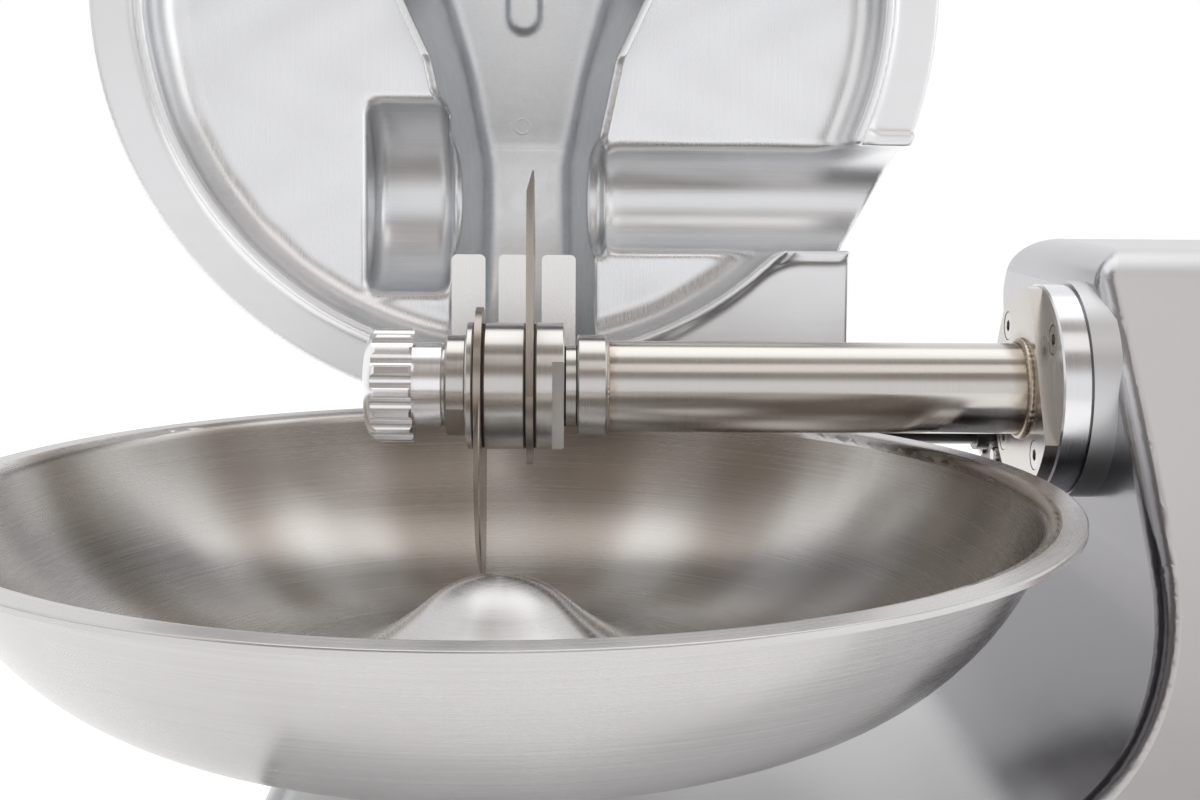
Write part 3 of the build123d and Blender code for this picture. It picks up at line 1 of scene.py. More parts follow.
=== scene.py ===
"""Looks for the meat bowl cutter: its materials, the smooth lid casting, weld beads, light and camera."""
import math

import bmesh
import bpy
import numpy as np
from mathutils import Matrix, Vector


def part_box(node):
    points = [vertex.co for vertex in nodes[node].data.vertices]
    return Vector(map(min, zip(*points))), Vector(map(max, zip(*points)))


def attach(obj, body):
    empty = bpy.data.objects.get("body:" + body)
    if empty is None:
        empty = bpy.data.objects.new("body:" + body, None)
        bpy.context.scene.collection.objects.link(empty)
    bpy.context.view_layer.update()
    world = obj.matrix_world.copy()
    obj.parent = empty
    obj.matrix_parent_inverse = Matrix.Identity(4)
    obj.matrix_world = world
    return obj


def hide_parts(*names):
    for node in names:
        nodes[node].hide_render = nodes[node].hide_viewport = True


MM = 0.001

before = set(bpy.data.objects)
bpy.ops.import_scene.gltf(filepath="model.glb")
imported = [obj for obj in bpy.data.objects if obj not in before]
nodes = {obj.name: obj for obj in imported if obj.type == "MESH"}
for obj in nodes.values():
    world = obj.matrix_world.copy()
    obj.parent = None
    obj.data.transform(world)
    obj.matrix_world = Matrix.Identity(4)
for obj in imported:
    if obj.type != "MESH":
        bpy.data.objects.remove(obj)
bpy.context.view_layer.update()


def middle(node):
    """Centre of a node's box, in metres."""
    low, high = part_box(node)
    return (Vector(low) + Vector(high)) / 2


bowl_axis = middle("bowl")
shaft_axis = middle("tube_end_collar")
motor_axis = middle("motor_shaft")
worm_axis = middle("worm_shaft")
hinge_axis = middle("hinge_shaft")
collar_weld_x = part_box("tube_end_collar")[1][0]
tube_flange = 6 * MM
flange_weld_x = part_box("adapter_ring")[0][0] - tube_flange

STEEL = (0.60, 0.575, 0.545)
BRIGHT = (0.90, 0.90, 0.905)


# ---------------------------------------------------------------- places on the lid
# The casting as a field in millimetres round the bowl's axis, with the lid closed: below zero is metal.
LID_BOTTOM = 305.0
PLATE_TOP = LID_BOTTOM + 6.0
DISH_TOP = LID_BOTTOM + 25.0
LIP_LOW = LID_BOTTOM - 7.0
LID_RADIUS = 230.0
LIP_OUTER = 205.0
LIP_INNER = 199.4
LID_WALL = 5.0
FRONT_Y = -32.0         # where the lid is cut off in front
FRONT_INSIDE = -27.0
SHAFT_Y, SHAFT_Z = 112.0, 326.0
HINGE_Y, HINGE_Z = 235.0, 289.0
LID_OPEN = math.radians(-94.6)

BOX_MIDDLE = 4.0        # knife box
BOX_REACH = 108.0       # round the shaft, over the knives
BOX_ROOF = SHAFT_Z + BOX_REACH
SEAM_Y = 86.0           # here the roof starts to slope down to the front
ROOF_FALL, ROOF_RUN = 36.0, 138.0
BOX_PLACES = (-52.0, 37.0, SEAM_Y)
MOUTH_HALF = (96.0, 52.0, 44.5)
ROOF_HALF = (48.0, 32.0, 24.0)
PATCH_Y = 75.0          # a mould line crosses the roof
MARK = (1.0, 62.5)      # round mark of an ejector pin
MARK_RADIUS = 4.6
BOSS = (2.0, -2.0)
BOSS_RADIUS = 9.6

DEFLECTOR_PLACES = (36.0, 40.0, SEAM_Y)     # the walls beside the knives, and their edge over LID_BOTTOM
DEFLECTOR_RISE = (0.0, 3.0, 20.0)

TUBE_SPACE = 28.5       # radii of the hollows over the shaft, and where they start and end along it
CHANNEL = (46.0, 240.0)
KNOB_SPACE = 53.0
POCKET = (-83.0, -38.0)
COLLAR_SPACE = 31.5
PASSAGE = (-43.0, 48.0)

DISH_ROUND = 18.0
TAB = (182.5, 138.0, 246.0)
COMB_SEAT = (-42.5, 41.0, 210.0, 229.0)
COMB_SLOT = (-34.6, 33.1, 212.0, 227.1, 290.0, 306.0)
LUG_STARTS = (100.0, 158.5)
LUG_WIDTH = 24.0
LUG_RADIUS = 18.0
HINGE_HOLE = 10.0


def opened(points):
    """From the closed lid round the bowl's axis in mm, to where the lid stands open in the frame in m."""
    y, z = points[:, 1] - HINGE_Y, points[:, 2] - HINGE_Z
    turned_y = HINGE_Y + y * math.cos(LID_OPEN) - z * math.sin(LID_OPEN)
    turned_z = HINGE_Z + y * math.sin(LID_OPEN) + z * math.cos(LID_OPEN)
    moved = np.stack([points[:, 0], turned_y, turned_z], axis=1) * MM
    return moved + [bowl_axis.x, bowl_axis.y, 0.0]


def roof_slope(y):
    """Height of the knife box's roof in front of the seam."""
    return BOX_ROOF - (SEAM_Y - y) * ROOF_FALL / ROOF_RUN


# ---------------------------------------------------------------- materials
class Look:
    """A Principled material, built up node by node."""

    def __init__(self, name, colour, roughness, metallic=1.0, anisotropic=0.0, coat=0.0):
        self.material = bpy.data.materials.new(name)
        self.material.use_nodes = True
        self.tree = self.material.node_tree
        self.shader = next(n for n in self.tree.nodes if n.type == "BSDF_PRINCIPLED")
        self.colour = colour
        self.shader.inputs["Base Color"].default_value = (*colour, 1.0)
        self.shader.inputs["Roughness"].default_value = roughness
        self.shader.inputs["Metallic"].default_value = metallic
        self.shader.inputs["Anisotropic"].default_value = anisotropic
        self.shader.inputs["Coat Weight"].default_value = coat
        self.place = self.add("ShaderNodeTexCoord").outputs["Object"]

    def add(self, kind, *values, **settings):
        node = self.tree.nodes.new(kind)
        for key, value in settings.items():
            setattr(node, key, value)
        for socket, value in zip(node.inputs, values):
            self.feed(socket, value)
        return node

    def feed(self, socket, value):
        if isinstance(value, bpy.types.NodeSocket):
            self.tree.links.new(value, socket)
        elif value is not None:
            socket.default_value = value

    def sum(self, operation, *values):
        return self.add("ShaderNodeMath", *values, operation=operation).outputs[0]

    def vector(self, operation, *values):
        node = self.add("ShaderNodeVectorMath", *values, operation=operation)
        return node.outputs["Value" if operation in ("LENGTH", "DOT_PRODUCT") else "Vector"]

    def scaled(self, place, x, y, z):
        return self.vector("MULTIPLY", place, (x, y, z))

    def noise(self, place, scale, detail=3.0, rough=0.55):
        node = self.add("ShaderNodeTexNoise")
        for name, value in (("Vector", place), ("Scale", scale), ("Detail", detail), ("Roughness", rough)):
            self.feed(node.inputs[name], value)
        return node.outputs[0]

    def cells(self, place, scale):
        node = self.add("ShaderNodeTexVoronoi")
        self.feed(node.inputs["Vector"], place)
        self.feed(node.inputs["Scale"], scale)
        return node.outputs["Distance"]

    def attribute(self, name):
        return self.add("ShaderNodeAttribute", attribute_name=name).outputs["Fac"]

    def ramp(self, value, low, high, to_low=0.0, to_high=1.0, smooth=False):
        node = self.add("ShaderNodeMapRange", value, low, high, to_low, to_high)
        node.interpolation_type = "SMOOTHSTEP" if smooth else "LINEAR"
        return node.outputs[0]

    def blend(self, factor, first, second):
        node = self.add("ShaderNodeMix", data_type="RGBA")
        self.feed(node.inputs[0], factor)
        self.feed(node.inputs[6], (*first, 1.0) if isinstance(first, tuple) else first)
        self.feed(node.inputs[7], (*second, 1.0) if isinstance(second, tuple) else second)
        return node.outputs[2]

    def mix(self, factor, first, second):
        node = self.add("ShaderNodeMix", factor, data_type="FLOAT")
        self.feed(node.inputs[2], first)
        self.feed(node.inputs[3], second)
        return node.outputs[0]

    def paint(self, socket):
        self.feed(self.shader.inputs["Base Color"], socket)

    def gloss(self, socket):
        self.feed(self.shader.inputs["Roughness"], socket)

    def tint(self, factor, spread):
        """Lightens and darkens the colour by the spread as the factor goes from 0 to 1."""
        dark = tuple(c * (1 - spread) for c in self.colour)
        light = tuple(min(1.0, c * (1 + spread)) for c in self.colour)
        self.paint(self.blend(factor, dark, light))

    def bump(self, height, strength, distance):
        """Adds a bump, its distance in millimetres, to those the material has."""
        node = self.add("ShaderNodeBump")
        previous = self.shader.inputs["Normal"].links
        if previous:
            self.feed(node.inputs["Normal"], previous[0].from_socket)
        for name, value in (("Height", height), ("Strength", strength), ("Distance", distance * MM)):
            self.feed(node.inputs[name], value)
        self.feed(self.shader.inputs["Normal"], node.outputs[0])

    def parts(self, vector):
        return self.add("ShaderNodeSeparateXYZ", vector).outputs

    def joined(self, x, y, z):
        return self.add("ShaderNodeCombineXYZ", x, y, z).outputs[0]


UNIT = {"X": (1.0, 0.0, 0.0), "Y": (0.0, 1.0, 0.0), "Z": (0.0, 0.0, 1.0)}


def turned_place(look, axis, centre, fine, slow):
    """Coordinates that change fast across the tool marks of a turned part, and slowly round its axis."""
    local = look.vector("SUBTRACT", look.place, tuple(centre))
    across = look.vector("MULTIPLY", local, tuple(1.0 - c for c in UNIT[axis]))
    radius = look.vector("LENGTH", across)
    along = look.vector("DOT_PRODUCT", local, UNIT[axis])
    rings = look.joined(look.sum("MULTIPLY", radius, fine), look.sum("MULTIPLY", along, fine), 0.0)
    tangent = look.vector("CROSS_PRODUCT", UNIT[axis], local)
    return look.vector("ADD", rings, look.scaled(local, slow, slow, slow)), tangent, local


def turned(name, colour, roughness, axis, centre, fine=2600.0, anisotropic=0.6, uneven=0.05):
    """Metal finished on a lathe or brushed while it turns."""
    look = Look(name, colour, roughness, anisotropic=anisotropic)
    place, tangent, local = turned_place(look, axis, centre, fine, 9.0)
    streak = look.noise(place, 1.0, 4.0, 0.65)
    cloud = look.noise(local, 14.0, 4.0)
    look.feed(look.shader.inputs["Tangent"], tangent)
    look.shader.inputs["Anisotropic Rotation"].default_value = 0.25
    mixed = look.sum("ADD", look.sum("MULTIPLY", streak, 0.6), look.sum("MULTIPLY", cloud, 0.4))
    look.tint(look.ramp(mixed, 0.3, 0.7), uneven)
    look.gloss(look.ramp(mixed, 0.3, 0.7, roughness - 0.07, roughness + 0.07))
    look.bump(streak, 0.1, 0.06)
    return look


def grained(name, colour, roughness, axis, slow=40.0, uneven=0.05):
    """Metal brushed in straight lines along an axis."""
    look = Look(name, colour, roughness, anisotropic=0.5)
    stretch = tuple(slow if c else 2200.0 for c in UNIT[axis])
    streak = look.noise(look.scaled(look.place, *stretch), 1.0, 3.0, 0.6)
    cloud = look.noise(look.place, 22.0, 4.0)
    normal = look.add("ShaderNodeNewGeometry").outputs["Normal"]
    look.feed(look.shader.inputs["Tangent"], look.vector("CROSS_PRODUCT", normal, UNIT[axis]))
    mixed = look.sum("ADD", look.sum("MULTIPLY", streak, 0.6), look.sum("MULTIPLY", cloud, 0.4))
    look.tint(look.ramp(mixed, 0.3, 0.7), uneven)
    look.gloss(look.ramp(mixed, 0.3, 0.7, roughness - 0.06, roughness + 0.08))
    look.bump(streak, 0.1, 0.05)
    return look


def painted(name, colour, roughness, peel=0.12):
    """Sprayed paint with a faint orange peel, a little dusty in patches."""
    look = Look(name, colour, roughness, metallic=0.0, coat=0.3)
    dust = look.noise(look.place, 30.0, 5.0)
    look.tint(look.ramp(dust, 0.35, 0.7), 0.12)
    look.gloss(look.ramp(dust, 0.3, 0.7, roughness - 0.08, roughness + 0.1))
    look.bump(look.noise(look.place, 700.0, 2.0), peel, 0.2)
    return look


def moulded(name, colour, roughness, grain=0.15):
    """Moulded plastic or rubber with a fine texture."""
    look = Look(name, colour, roughness, metallic=0.0)
    mottle = look.noise(look.place, 60.0, 4.0)
    look.tint(look.ramp(mottle, 0.3, 0.7), 0.15)
    look.gloss(look.ramp(mottle, 0.3, 0.7, roughness - 0.07, roughness + 0.07))
    look.bump(look.cells(look.place, 1800.0), grain, 0.1)
    return look


def housing_look():
    """Cast aluminium: pale satin front, and a darker glossy side where the scoop passes the bowl, painted
    darker still towards its bottom as shade.
    """
    look = Look("housing_alloy", (0.72, 0.72, 0.74), 0.34)
    normal = look.parts(look.add("ShaderNodeTexCoord").outputs["Normal"])
    side = look.ramp(normal[0], -0.35, -0.12, 1.0, 0.0, smooth=True)
    height = look.parts(look.place)[2]
    cloud = look.noise(look.place, 7.0, 5.0)
    swirl = look.noise(look.scaled(look.place, 5.0, 2.0, 9.0), 1.0, 2.0, 0.4)
    streak = look.noise(look.scaled(look.place, 900.0, 900.0, 25.0), 1.0, 2.0)
    front = look.blend(look.ramp(cloud, 0.3, 0.7), (0.60, 0.60, 0.612), (0.67, 0.67, 0.68))
    # The side darkens towards its bottom, broken by a swirl of noise: painted shade low on the scoop.
    low = look.sum("ADD", look.ramp(height, 0.37, 0.22), look.ramp(swirl, 0.35, 0.65, -0.3, 0.3))
    polished_side_with_shade = look.blend(look.ramp(low, 0.0, 1.0, smooth=True), (0.50, 0.495, 0.515), (0.22, 0.215, 0.228))
    look.paint(look.blend(side, front, polished_side_with_shade))
    satin = look.ramp(cloud, 0.3, 0.7, 0.34, 0.44)
    shiny = look.ramp(cloud, 0.3, 0.7, 0.14, 0.24)
    look.gloss(look.mix(side, satin, shiny))
    look.bump(streak, 0.035, 0.08)
    look.bump(cloud, 0.12, 1.5)
    return look


def lid_look():
    """Cast aluminium: blasted inside the knife box, its walls painted darker than its roof as shade, milled
    flange and lips, brushed dish.
    """
    look = Look("lid_casting", (0.80, 0.815, 0.83), 0.3)
    blasted = look.attribute("blasted")
    milled = look.attribute("milled")
    dished = look.attribute("dished")
    pits = look.noise(look.place, 1300.0, 3.0, 0.6)
    patches = look.noise(look.place, 90.0, 5.0, 0.65)
    cloud = look.noise(look.place, 9.0, 5.0)
    up = look.noise(look.scaled(look.place, 1300.0, 300.0, 12.0), 1.0, 3.0, 0.6)
    along = look.noise(look.scaled(look.place, 12.0, 900.0, 900.0), 1.0, 3.0, 0.6)
    brushed = look.mix(dished, along, up)
    sheen = look.sum("ADD", look.sum("MULTIPLY", cloud, 0.6), look.sum("MULTIPLY", brushed, 0.4))
    tone = look.ramp(sheen, 0.38, 0.62)
    dish = look.blend(tone, (0.76, 0.77, 0.785), (0.88, 0.885, 0.895))
    grain = look.sum("ADD", look.sum("MULTIPLY", pits, 0.45), look.sum("MULTIPLY", patches, 0.55))
    speckle = look.ramp(grain, 0.38, 0.62)
    # The knife box's walls are painted darker than its roof: painted shade inside the box. The roof in front
    # of the mould line is darker too.
    lit_roof_mask = look.attribute("roof")
    shaded_wall_tone = look.blend(lit_roof_mask, (0.70, 0.72, 0.74), (0.84, 0.85, 0.86))
    lit_roof_tone = look.blend(lit_roof_mask, (0.86, 0.87, 0.885), (0.96, 0.965, 0.97))
    bare = look.blend(milled, dish, (0.86, 0.865, 0.875))
    mark = Vector(opened(np.array([(*MARK, roof_slope(MARK[1]))]))[0])
    backwards = (math.cos(LID_OPEN), math.sin(LID_OPEN))
    from_mark = look.vector("SUBTRACT", look.place, tuple(mark))
    ring = look.sum("ABSOLUTE", look.sum("SUBTRACT", look.vector("LENGTH", from_mark), MARK_RADIUS * MM))
    behind = look.vector("DOT_PRODUCT", from_mark, (0.0, *backwards))
    seam = look.sum("ABSOLUTE", look.sum("SUBTRACT", behind, (PATCH_Y - MARK[1]) * MM))
    lines = look.ramp(look.sum("MINIMUM", ring, seam), 0.25 * MM, 0.7 * MM, 1.0, 0.0)
    lines = look.sum("MULTIPLY", lines, look.ramp(lit_roof_mask, 0.1, 0.28))
    blasted_with_wall_shade = look.blend(speckle, shaded_wall_tone, lit_roof_tone)
    blasted_with_wall_shade = look.blend(look.sum("MULTIPLY", lines, 0.5), blasted_with_wall_shade, (0.9, 0.9, 0.91))
    look.paint(look.blend(blasted, bare, blasted_with_wall_shade))
    bare_gloss = look.mix(dished, look.ramp(tone, 0.0, 1.0, 0.3, 0.4), look.ramp(tone, 0.0, 1.0, 0.2, 0.34))
    look.gloss(look.mix(blasted, bare_gloss, look.ramp(speckle, 0.0, 1.0, 0.36, 0.5)))
    look.bump(look.sum("MULTIPLY", look.sum("ADD", grain, lines), blasted), 0.25, 0.3)
    look.bump(brushed, 0.04, 0.1)
    return look


def bowl_look():
    """Spun steel, plain outside and on the rim, and browner inside in broad dark and light stripes round the
    axis: painted reflections.
    """
    look = Look("bowl_spun_steel", (0.74, 0.73, 0.72), 0.26, anisotropic=0.8)
    place, tangent, local = turned_place(look, "Z", bowl_axis, 1500.0, 5.0)
    streak = look.noise(place, 1.0, 4.0, 0.65)
    cloud = look.noise(local, 10.0, 4.0)
    look.feed(look.shader.inputs["Tangent"], tangent)
    look.shader.inputs["Anisotropic Rotation"].default_value = 0.25
    outward = look.vector("NORMALIZE", look.vector("MULTIPLY", local, (1.0, 1.0, 0.0)))
    normal = look.add("ShaderNodeTexCoord").outputs["Normal"]
    inside = look.ramp(look.vector("DOT_PRODUCT", normal, outward), -0.05, -0.3, smooth=True)
    # Stripes round the axis inside, dark brown and light: painted reflections.
    painted_reflection_bands = look.ramp(look.noise(outward, 2.3, 1.0, 0.4), 0.38, 0.62, smooth=True)
    mixed = look.sum("ADD", look.sum("MULTIPLY", streak, 0.5), look.sum("MULTIPLY", cloud, 0.5))
    tone = look.ramp(mixed, 0.35, 0.65)
    # Plain steel outside; dark brown and light steel for the painted reflections inside.
    outside_tone = look.blend(tone, (0.54, 0.53, 0.52), (0.65, 0.645, 0.64))
    dark = look.blend(tone, (0.29, 0.25, 0.215), (0.42, 0.38, 0.34))
    light = look.blend(tone, (0.64, 0.615, 0.59), (0.76, 0.745, 0.73))
    look.paint(look.blend(inside, outside_tone, look.blend(painted_reflection_bands, dark, light)))
    look.gloss(look.ramp(mixed, 0.35, 0.65, 0.2, 0.32))
    look.bump(streak, 0.12, 0.06)
    return look


def tube_look():
    """Steel tube, tinted gold and brown by the welds at its ends."""
    look = turned("tube_steel", STEEL, 0.20, "X", shaft_axis, anisotropic=0.45)
    along = look.parts(look.place)[0]
    mottle = look.ramp(look.noise(look.place, 160.0, 2.0), 0.3, 0.7, -1.5 * MM, 1.5 * MM)
    mottled = look.sum("ADD", along, mottle)
    heat = look.ramp(mottled, flange_weld_x - 12 * MM, flange_weld_x, smooth=True)
    heat = look.sum("MAXIMUM", heat, look.ramp(mottled, collar_weld_x + 6 * MM, collar_weld_x, smooth=True))
    out = look.vector("MULTIPLY", look.vector("SUBTRACT", look.place, tuple(shaft_axis)), (0.0, 1.0, 1.0))
    heat = look.sum("MULTIPLY", heat, look.ramp(look.vector("LENGTH", out), 23 * MM, 28 * MM, 0.7, 0.0))
    plain = look.shader.inputs["Base Color"].links[0].from_socket
    look.paint(look.blend(heat, plain, (0.40, 0.30, 0.20)))
    return look


def rubber_belt(name, axis_scale):
    """Ribbed drive belt rubber with a cloth back."""
    look = Look(name, (0.022, 0.022, 0.024), 0.62, metallic=0.0)
    weave = look.noise(look.scaled(look.place, *axis_scale), 1.0, 2.0)
    look.tint(look.ramp(weave, 0.35, 0.65), 0.3)
    look.bump(weave, 0.35, 0.3)
    return look


on_shaft = ("X", shaft_axis)
looks = {
    "housing": housing_look(),
    "bowl": bowl_look(),
    "tube": tube_look(),
    "weld": turned(
        "weld_steel", (0.54, 0.47, 0.39), 0.3, *on_shaft, fine=1200.0, anisotropic=0.0, uneven=0.25
    ),
    "collars": turned("collar_steel", (0.60, 0.58, 0.555), 0.22, *on_shaft, anisotropic=0.5),
    "knives": grained("knife_steel", (0.42, 0.375, 0.33), 0.3, "Z", slow=60.0, uneven=0.12),
    "knob": turned("knob_alloy", BRIGHT, 0.2, *on_shaft, anisotropic=0.4),
    "adapter": turned("adapter_alloy", (0.76, 0.76, 0.775), 0.22, *on_shaft, anisotropic=0.6),
    "lid": lid_look(),
    "comb": grained("comb_steel", (0.88, 0.87, 0.855), 0.3, "Z", uneven=0.06),
    "screws": turned("screw_steel", (0.66, 0.65, 0.63), 0.22, *on_shaft, anisotropic=0.2),
    "sheet": grained("sheet_steel", (0.62, 0.61, 0.60), 0.32, "Z"),
    "machined": turned("machined_steel", (0.42, 0.42, 0.42), 0.28, *on_shaft),
    "dark": turned("hinge_steel", (0.16, 0.155, 0.15), 0.3, "X", hinge_axis),
    "pulleys": turned("pulley_alloy", (0.70, 0.70, 0.71), 0.3, *on_shaft),
    "motor_pulleys": turned("motor_pulley_alloy", (0.70, 0.70, 0.71), 0.3, "X", motor_axis),
    "worm": turned("worm_steel", (0.5, 0.5, 0.5), 0.3, "X", worm_axis),
    "hub": turned("hub_steel", (0.55, 0.54, 0.53), 0.28, "Z", bowl_axis),
    "iron": painted("grey_iron_paint", (0.10, 0.11, 0.125), 0.42, 0.3),
    "motor": painted("motor_paint", (0.035, 0.05, 0.085), 0.4, 0.25),
    "rubber": moulded("black_rubber", (0.018, 0.018, 0.018), 0.6, 0.3),
    "plastic": moulded("black_plastic", (0.022, 0.022, 0.025), 0.42, 0.2),
    "green": moulded("green_plastic", (0.012, 0.19, 0.045), 0.3, 0.08),
    "red": moulded("red_plastic", (0.42, 0.012, 0.012), 0.3, 0.08),
    "belt": rubber_belt("belt_rubber", (2400.0, 700.0, 700.0)),
}
wearing = {
    "housing": ["housing"],
    "bowl": ["bowl"],
    "tube": ["shaft_tube"],
    "collars": [
        "tube_end_collar", "inner_collar", "knife_spacer", "end_collar", "neck_sleeve", "clamp_nut",
        "knob_washer",
    ],
    "knives": ["right_knife", "left_knife"],
    "knob": ["hand_knob"],
    "adapter": ["adapter_ring"],
    "lid": ["lid"],
    "comb": ["comb"],
    "screws": [
        "cover_screws", "drive_screws", "flange_screws", "panel_screws", "comb_screws", "lid_screws",
    ],
    "sheet": ["bottom_cover", "side_cover", "control_panel"],
    "machined": [
        "drive_plate", "bearing_outer_rings", "bearing_inner_rings", "knife_shaft", "shaft_locknut",
    ],
    "dark": ["hinge_shaft", "hinge_cam", "hinge_sleeve"],
    "pulleys": ["knife_pulley"],
    "motor_pulleys": ["motor_pulley", "motor_shaft"],
    "worm": ["worm_shaft", "worm_pulley"],
    "hub": ["bowl_hub", "bowl_carrier", "bowl_spindle"],
    "iron": ["bowl_gearbox", "rear_bearing_housing"],
    "motor": ["motor_body", "motor_fan_cover"],
    "rubber": ["rubber_feet", "spindle_seal", "shaft_seal", "knife_seals"],
    "plastic": [
        "safety_switch", "button_bezels", "switch_blocks", "cable_gland", "motor_fan", "lid_handle",
        "speed_selector",
    ],
    "green": ["start_button"],
    "red": ["stop_button"],
    "belt": ["knife_belt", "bowl_belt"],
}


def wear(thing, look):
    thing.data.materials.clear()
    thing.data.materials.append(looks[look].material)


for look_name, members in wearing.items():
    for member in members:
        wear(nodes[member], look_name)


# ---------------------------------------------------------------- the lid casting, drawn closed
def join(first, second, blend):
    """Smooth union of two fields."""
    h = np.clip(0.5 + 0.5 * (second - first) / blend, 0.0, 1.0)
    return second * (1 - h) + first * h - blend * h * (1 - h)


def cut(first, second, blend):
    """Smooth intersection of two fields."""
    return -join(-first, -second, blend)


def slab(value, low, high):
    return np.maximum(low - value, value - high)


def brick(x, y, z, box, round_off=0.0):
    """Box given as (x0, x1, y0, y1, z0, z1)."""
    sides = [slab(v, box[2 * i] + round_off, box[2 * i + 1] - round_off) for i, v in enumerate((x, y, z))]
    outside = np.sqrt(sum(np.maximum(s, 0.0) ** 2 for s in sides))
    return outside + np.minimum(np.maximum(np.maximum(sides[0], sides[1]), sides[2]), 0.0) - round_off


def drum(x, y, z, radius, low, high, round_top):
    """Upright cylinder with a rounded top edge."""
    across = np.hypot(x, y) - radius + round_top
    above = z - high + round_top
    rounded = np.hypot(np.maximum(across, 0.0), np.maximum(above, 0.0))
    rounded = rounded + np.minimum(np.maximum(across, above), 0.0)
    return np.maximum(rounded - round_top, low - z)


def half_pipe(x, y, z, radius, start, end, blend):
    """Trough over the knife shaft, open downwards."""
    reach = np.where(z > SHAFT_Z, np.hypot(y - SHAFT_Y, z - SHAFT_Z), np.abs(y - SHAFT_Y))
    return cut(reach - radius, slab(x, start, end), blend)


def knife_box(x, y, z):
    """Inside of the knife box: round over the knives, sloping and flaring to the front."""
    mouth = np.interp(y, BOX_PLACES, MOUTH_HALF)
    roof = np.interp(y, BOX_PLACES, ROOF_HALF)
    level = (z - LIP_LOW + 2.0) / (BOX_ROOF + 8.0 - LIP_LOW)
    sides = np.abs(x - BOX_MIDDLE) - (mouth * (1 - level) + roof * level)
    height = join(np.full_like(y, BOX_ROOF), roof_slope(y), 6.0)
    step = 0.5 / (1.0 + np.exp((PATCH_Y - y) / 0.4))
    front = z - height - 0.5 + step
    rear = np.where(z > SHAFT_Z, np.hypot(y - SHAFT_Y, z - SHAFT_Z), y - SHAFT_Y) - BOX_REACH
    return cut(sides * 0.99, np.where(y < SHAFT_Y, front, rear), 9.0)


def casting(x, y, z):
    """The whole lid, and apart from it the inside of its knife box."""
    box = knife_box(x, y, z)
    rim = np.hypot(x, y)
    wave = 0.25 * np.sin(x * 0.09 + 1.3 * np.sin(y * 0.05)) * np.sin(y * 0.11 + z * 0.07)

    # outside: dish, humps over the tube and the knob, knife box
    shell = drum(x, y, z, LIP_OUTER, LID_BOTTOM, DISH_TOP + LID_WALL, DISH_ROUND + LID_WALL) + wave
    pipes = half_pipe(x, y, z, TUBE_SPACE + LID_WALL, CHANNEL[0] - LID_WALL, CHANNEL[1] - LID_WALL, 9.0)
    hump = half_pipe(x, y, z, KNOB_SPACE + LID_WALL, POCKET[0] - LID_WALL, POCKET[1] + LID_WALL, 14.0)
    pipes = join(pipes, hump, 8.0)
    shell = join(shell, np.maximum(join(box - LID_WALL, pipes, 10.0), LID_BOTTOM - z), 10.0)
    shell = cut(shell, rim - LID_RADIUS, 1.5)

    # flange, the tab for the hinge, comb seat, lip and lugs
    plate = cut(rim - LID_RADIUS, slab(z, LID_BOTTOM, PLATE_TOP), 1.5)
    plate = np.minimum(plate, brick(x, y, z, (0.0, *TAB, LID_BOTTOM, PLATE_TOP), 1.0))
    metal = join(plate, shell, 5.0)
    metal = join(metal, brick(x, y, z, (*COMB_SEAT, LID_BOTTOM, PLATE_TOP + 9.0), 2.0), 5.0)
    lip = np.maximum(slab(rim, LIP_INNER, LIP_OUTER), slab(z, LIP_LOW, LID_BOTTOM + 1.0))
    metal = join(metal, lip, 1.5)
    from_hinge = np.hypot(y - HINGE_Y, z - HINGE_Z)
    for start in LUG_STARTS:
        end = start + LUG_WIDTH
        lug = np.maximum(from_hinge - LUG_RADIUS, slab(x, start, end))
        upright = (start, end, HINGE_Y - LUG_RADIUS, HINGE_Y + LUG_RADIUS, HINGE_Z, PLATE_TOP)
        metal = join(metal, np.minimum(lug, brick(x, y, z, upright)), 3.0)
    metal = np.maximum(metal, FRONT_Y - y)

    # inside: dish with the deflector walls left standing, hollows over the shaft's pieces, knife box
    dish = cut(drum(x, y, z, LIP_INNER, 280.0, DISH_TOP, DISH_ROUND) + wave, FRONT_INSIDE - y, 8.0)
    edge = LID_BOTTOM + np.interp(y, DEFLECTOR_PLACES, DEFLECTOR_RISE)
    deflector = cut(np.maximum(box - LID_WALL, y - SEAM_Y), edge - z, 1.5)
    dish = cut(dish, -deflector, 1.5)
    hollow = join(dish, half_pipe(x, y, z, TUBE_SPACE, *CHANNEL, 14.0), 6.0)
    hollow = join(hollow, half_pipe(x, y, z, KNOB_SPACE, *POCKET, 9.0), 6.0)
    hollow = join(hollow, half_pipe(x, y, z, COLLAR_SPACE, *PASSAGE, 4.0), 5.0)
    hollow = join(hollow, np.maximum(box, FRONT_INSIDE - y), 1.5)
    metal = cut(metal, -hollow, 1.5)

    # the boss on the roof, the slot for the comb and the hinge's bore
    roof = roof_slope(y)
    boss = np.hypot(x - BOSS[0], np.maximum(y - BOSS[1], 0.0)) - BOSS_RADIUS
    boss = np.maximum(cut(boss, roof - 4.0 - z, 3.0), z - roof - 3.0)
    metal = join(metal, np.maximum(boss, -30.0 - y), 3.0)
    metal = np.maximum(metal, -brick(x, y, z, COMB_SLOT))
    return np.maximum(metal, HINGE_HOLE - from_hinge), box


CORNERS = [(i, j, k) for i in (0, 1) for j in (0, 1) for k in (0, 1)]


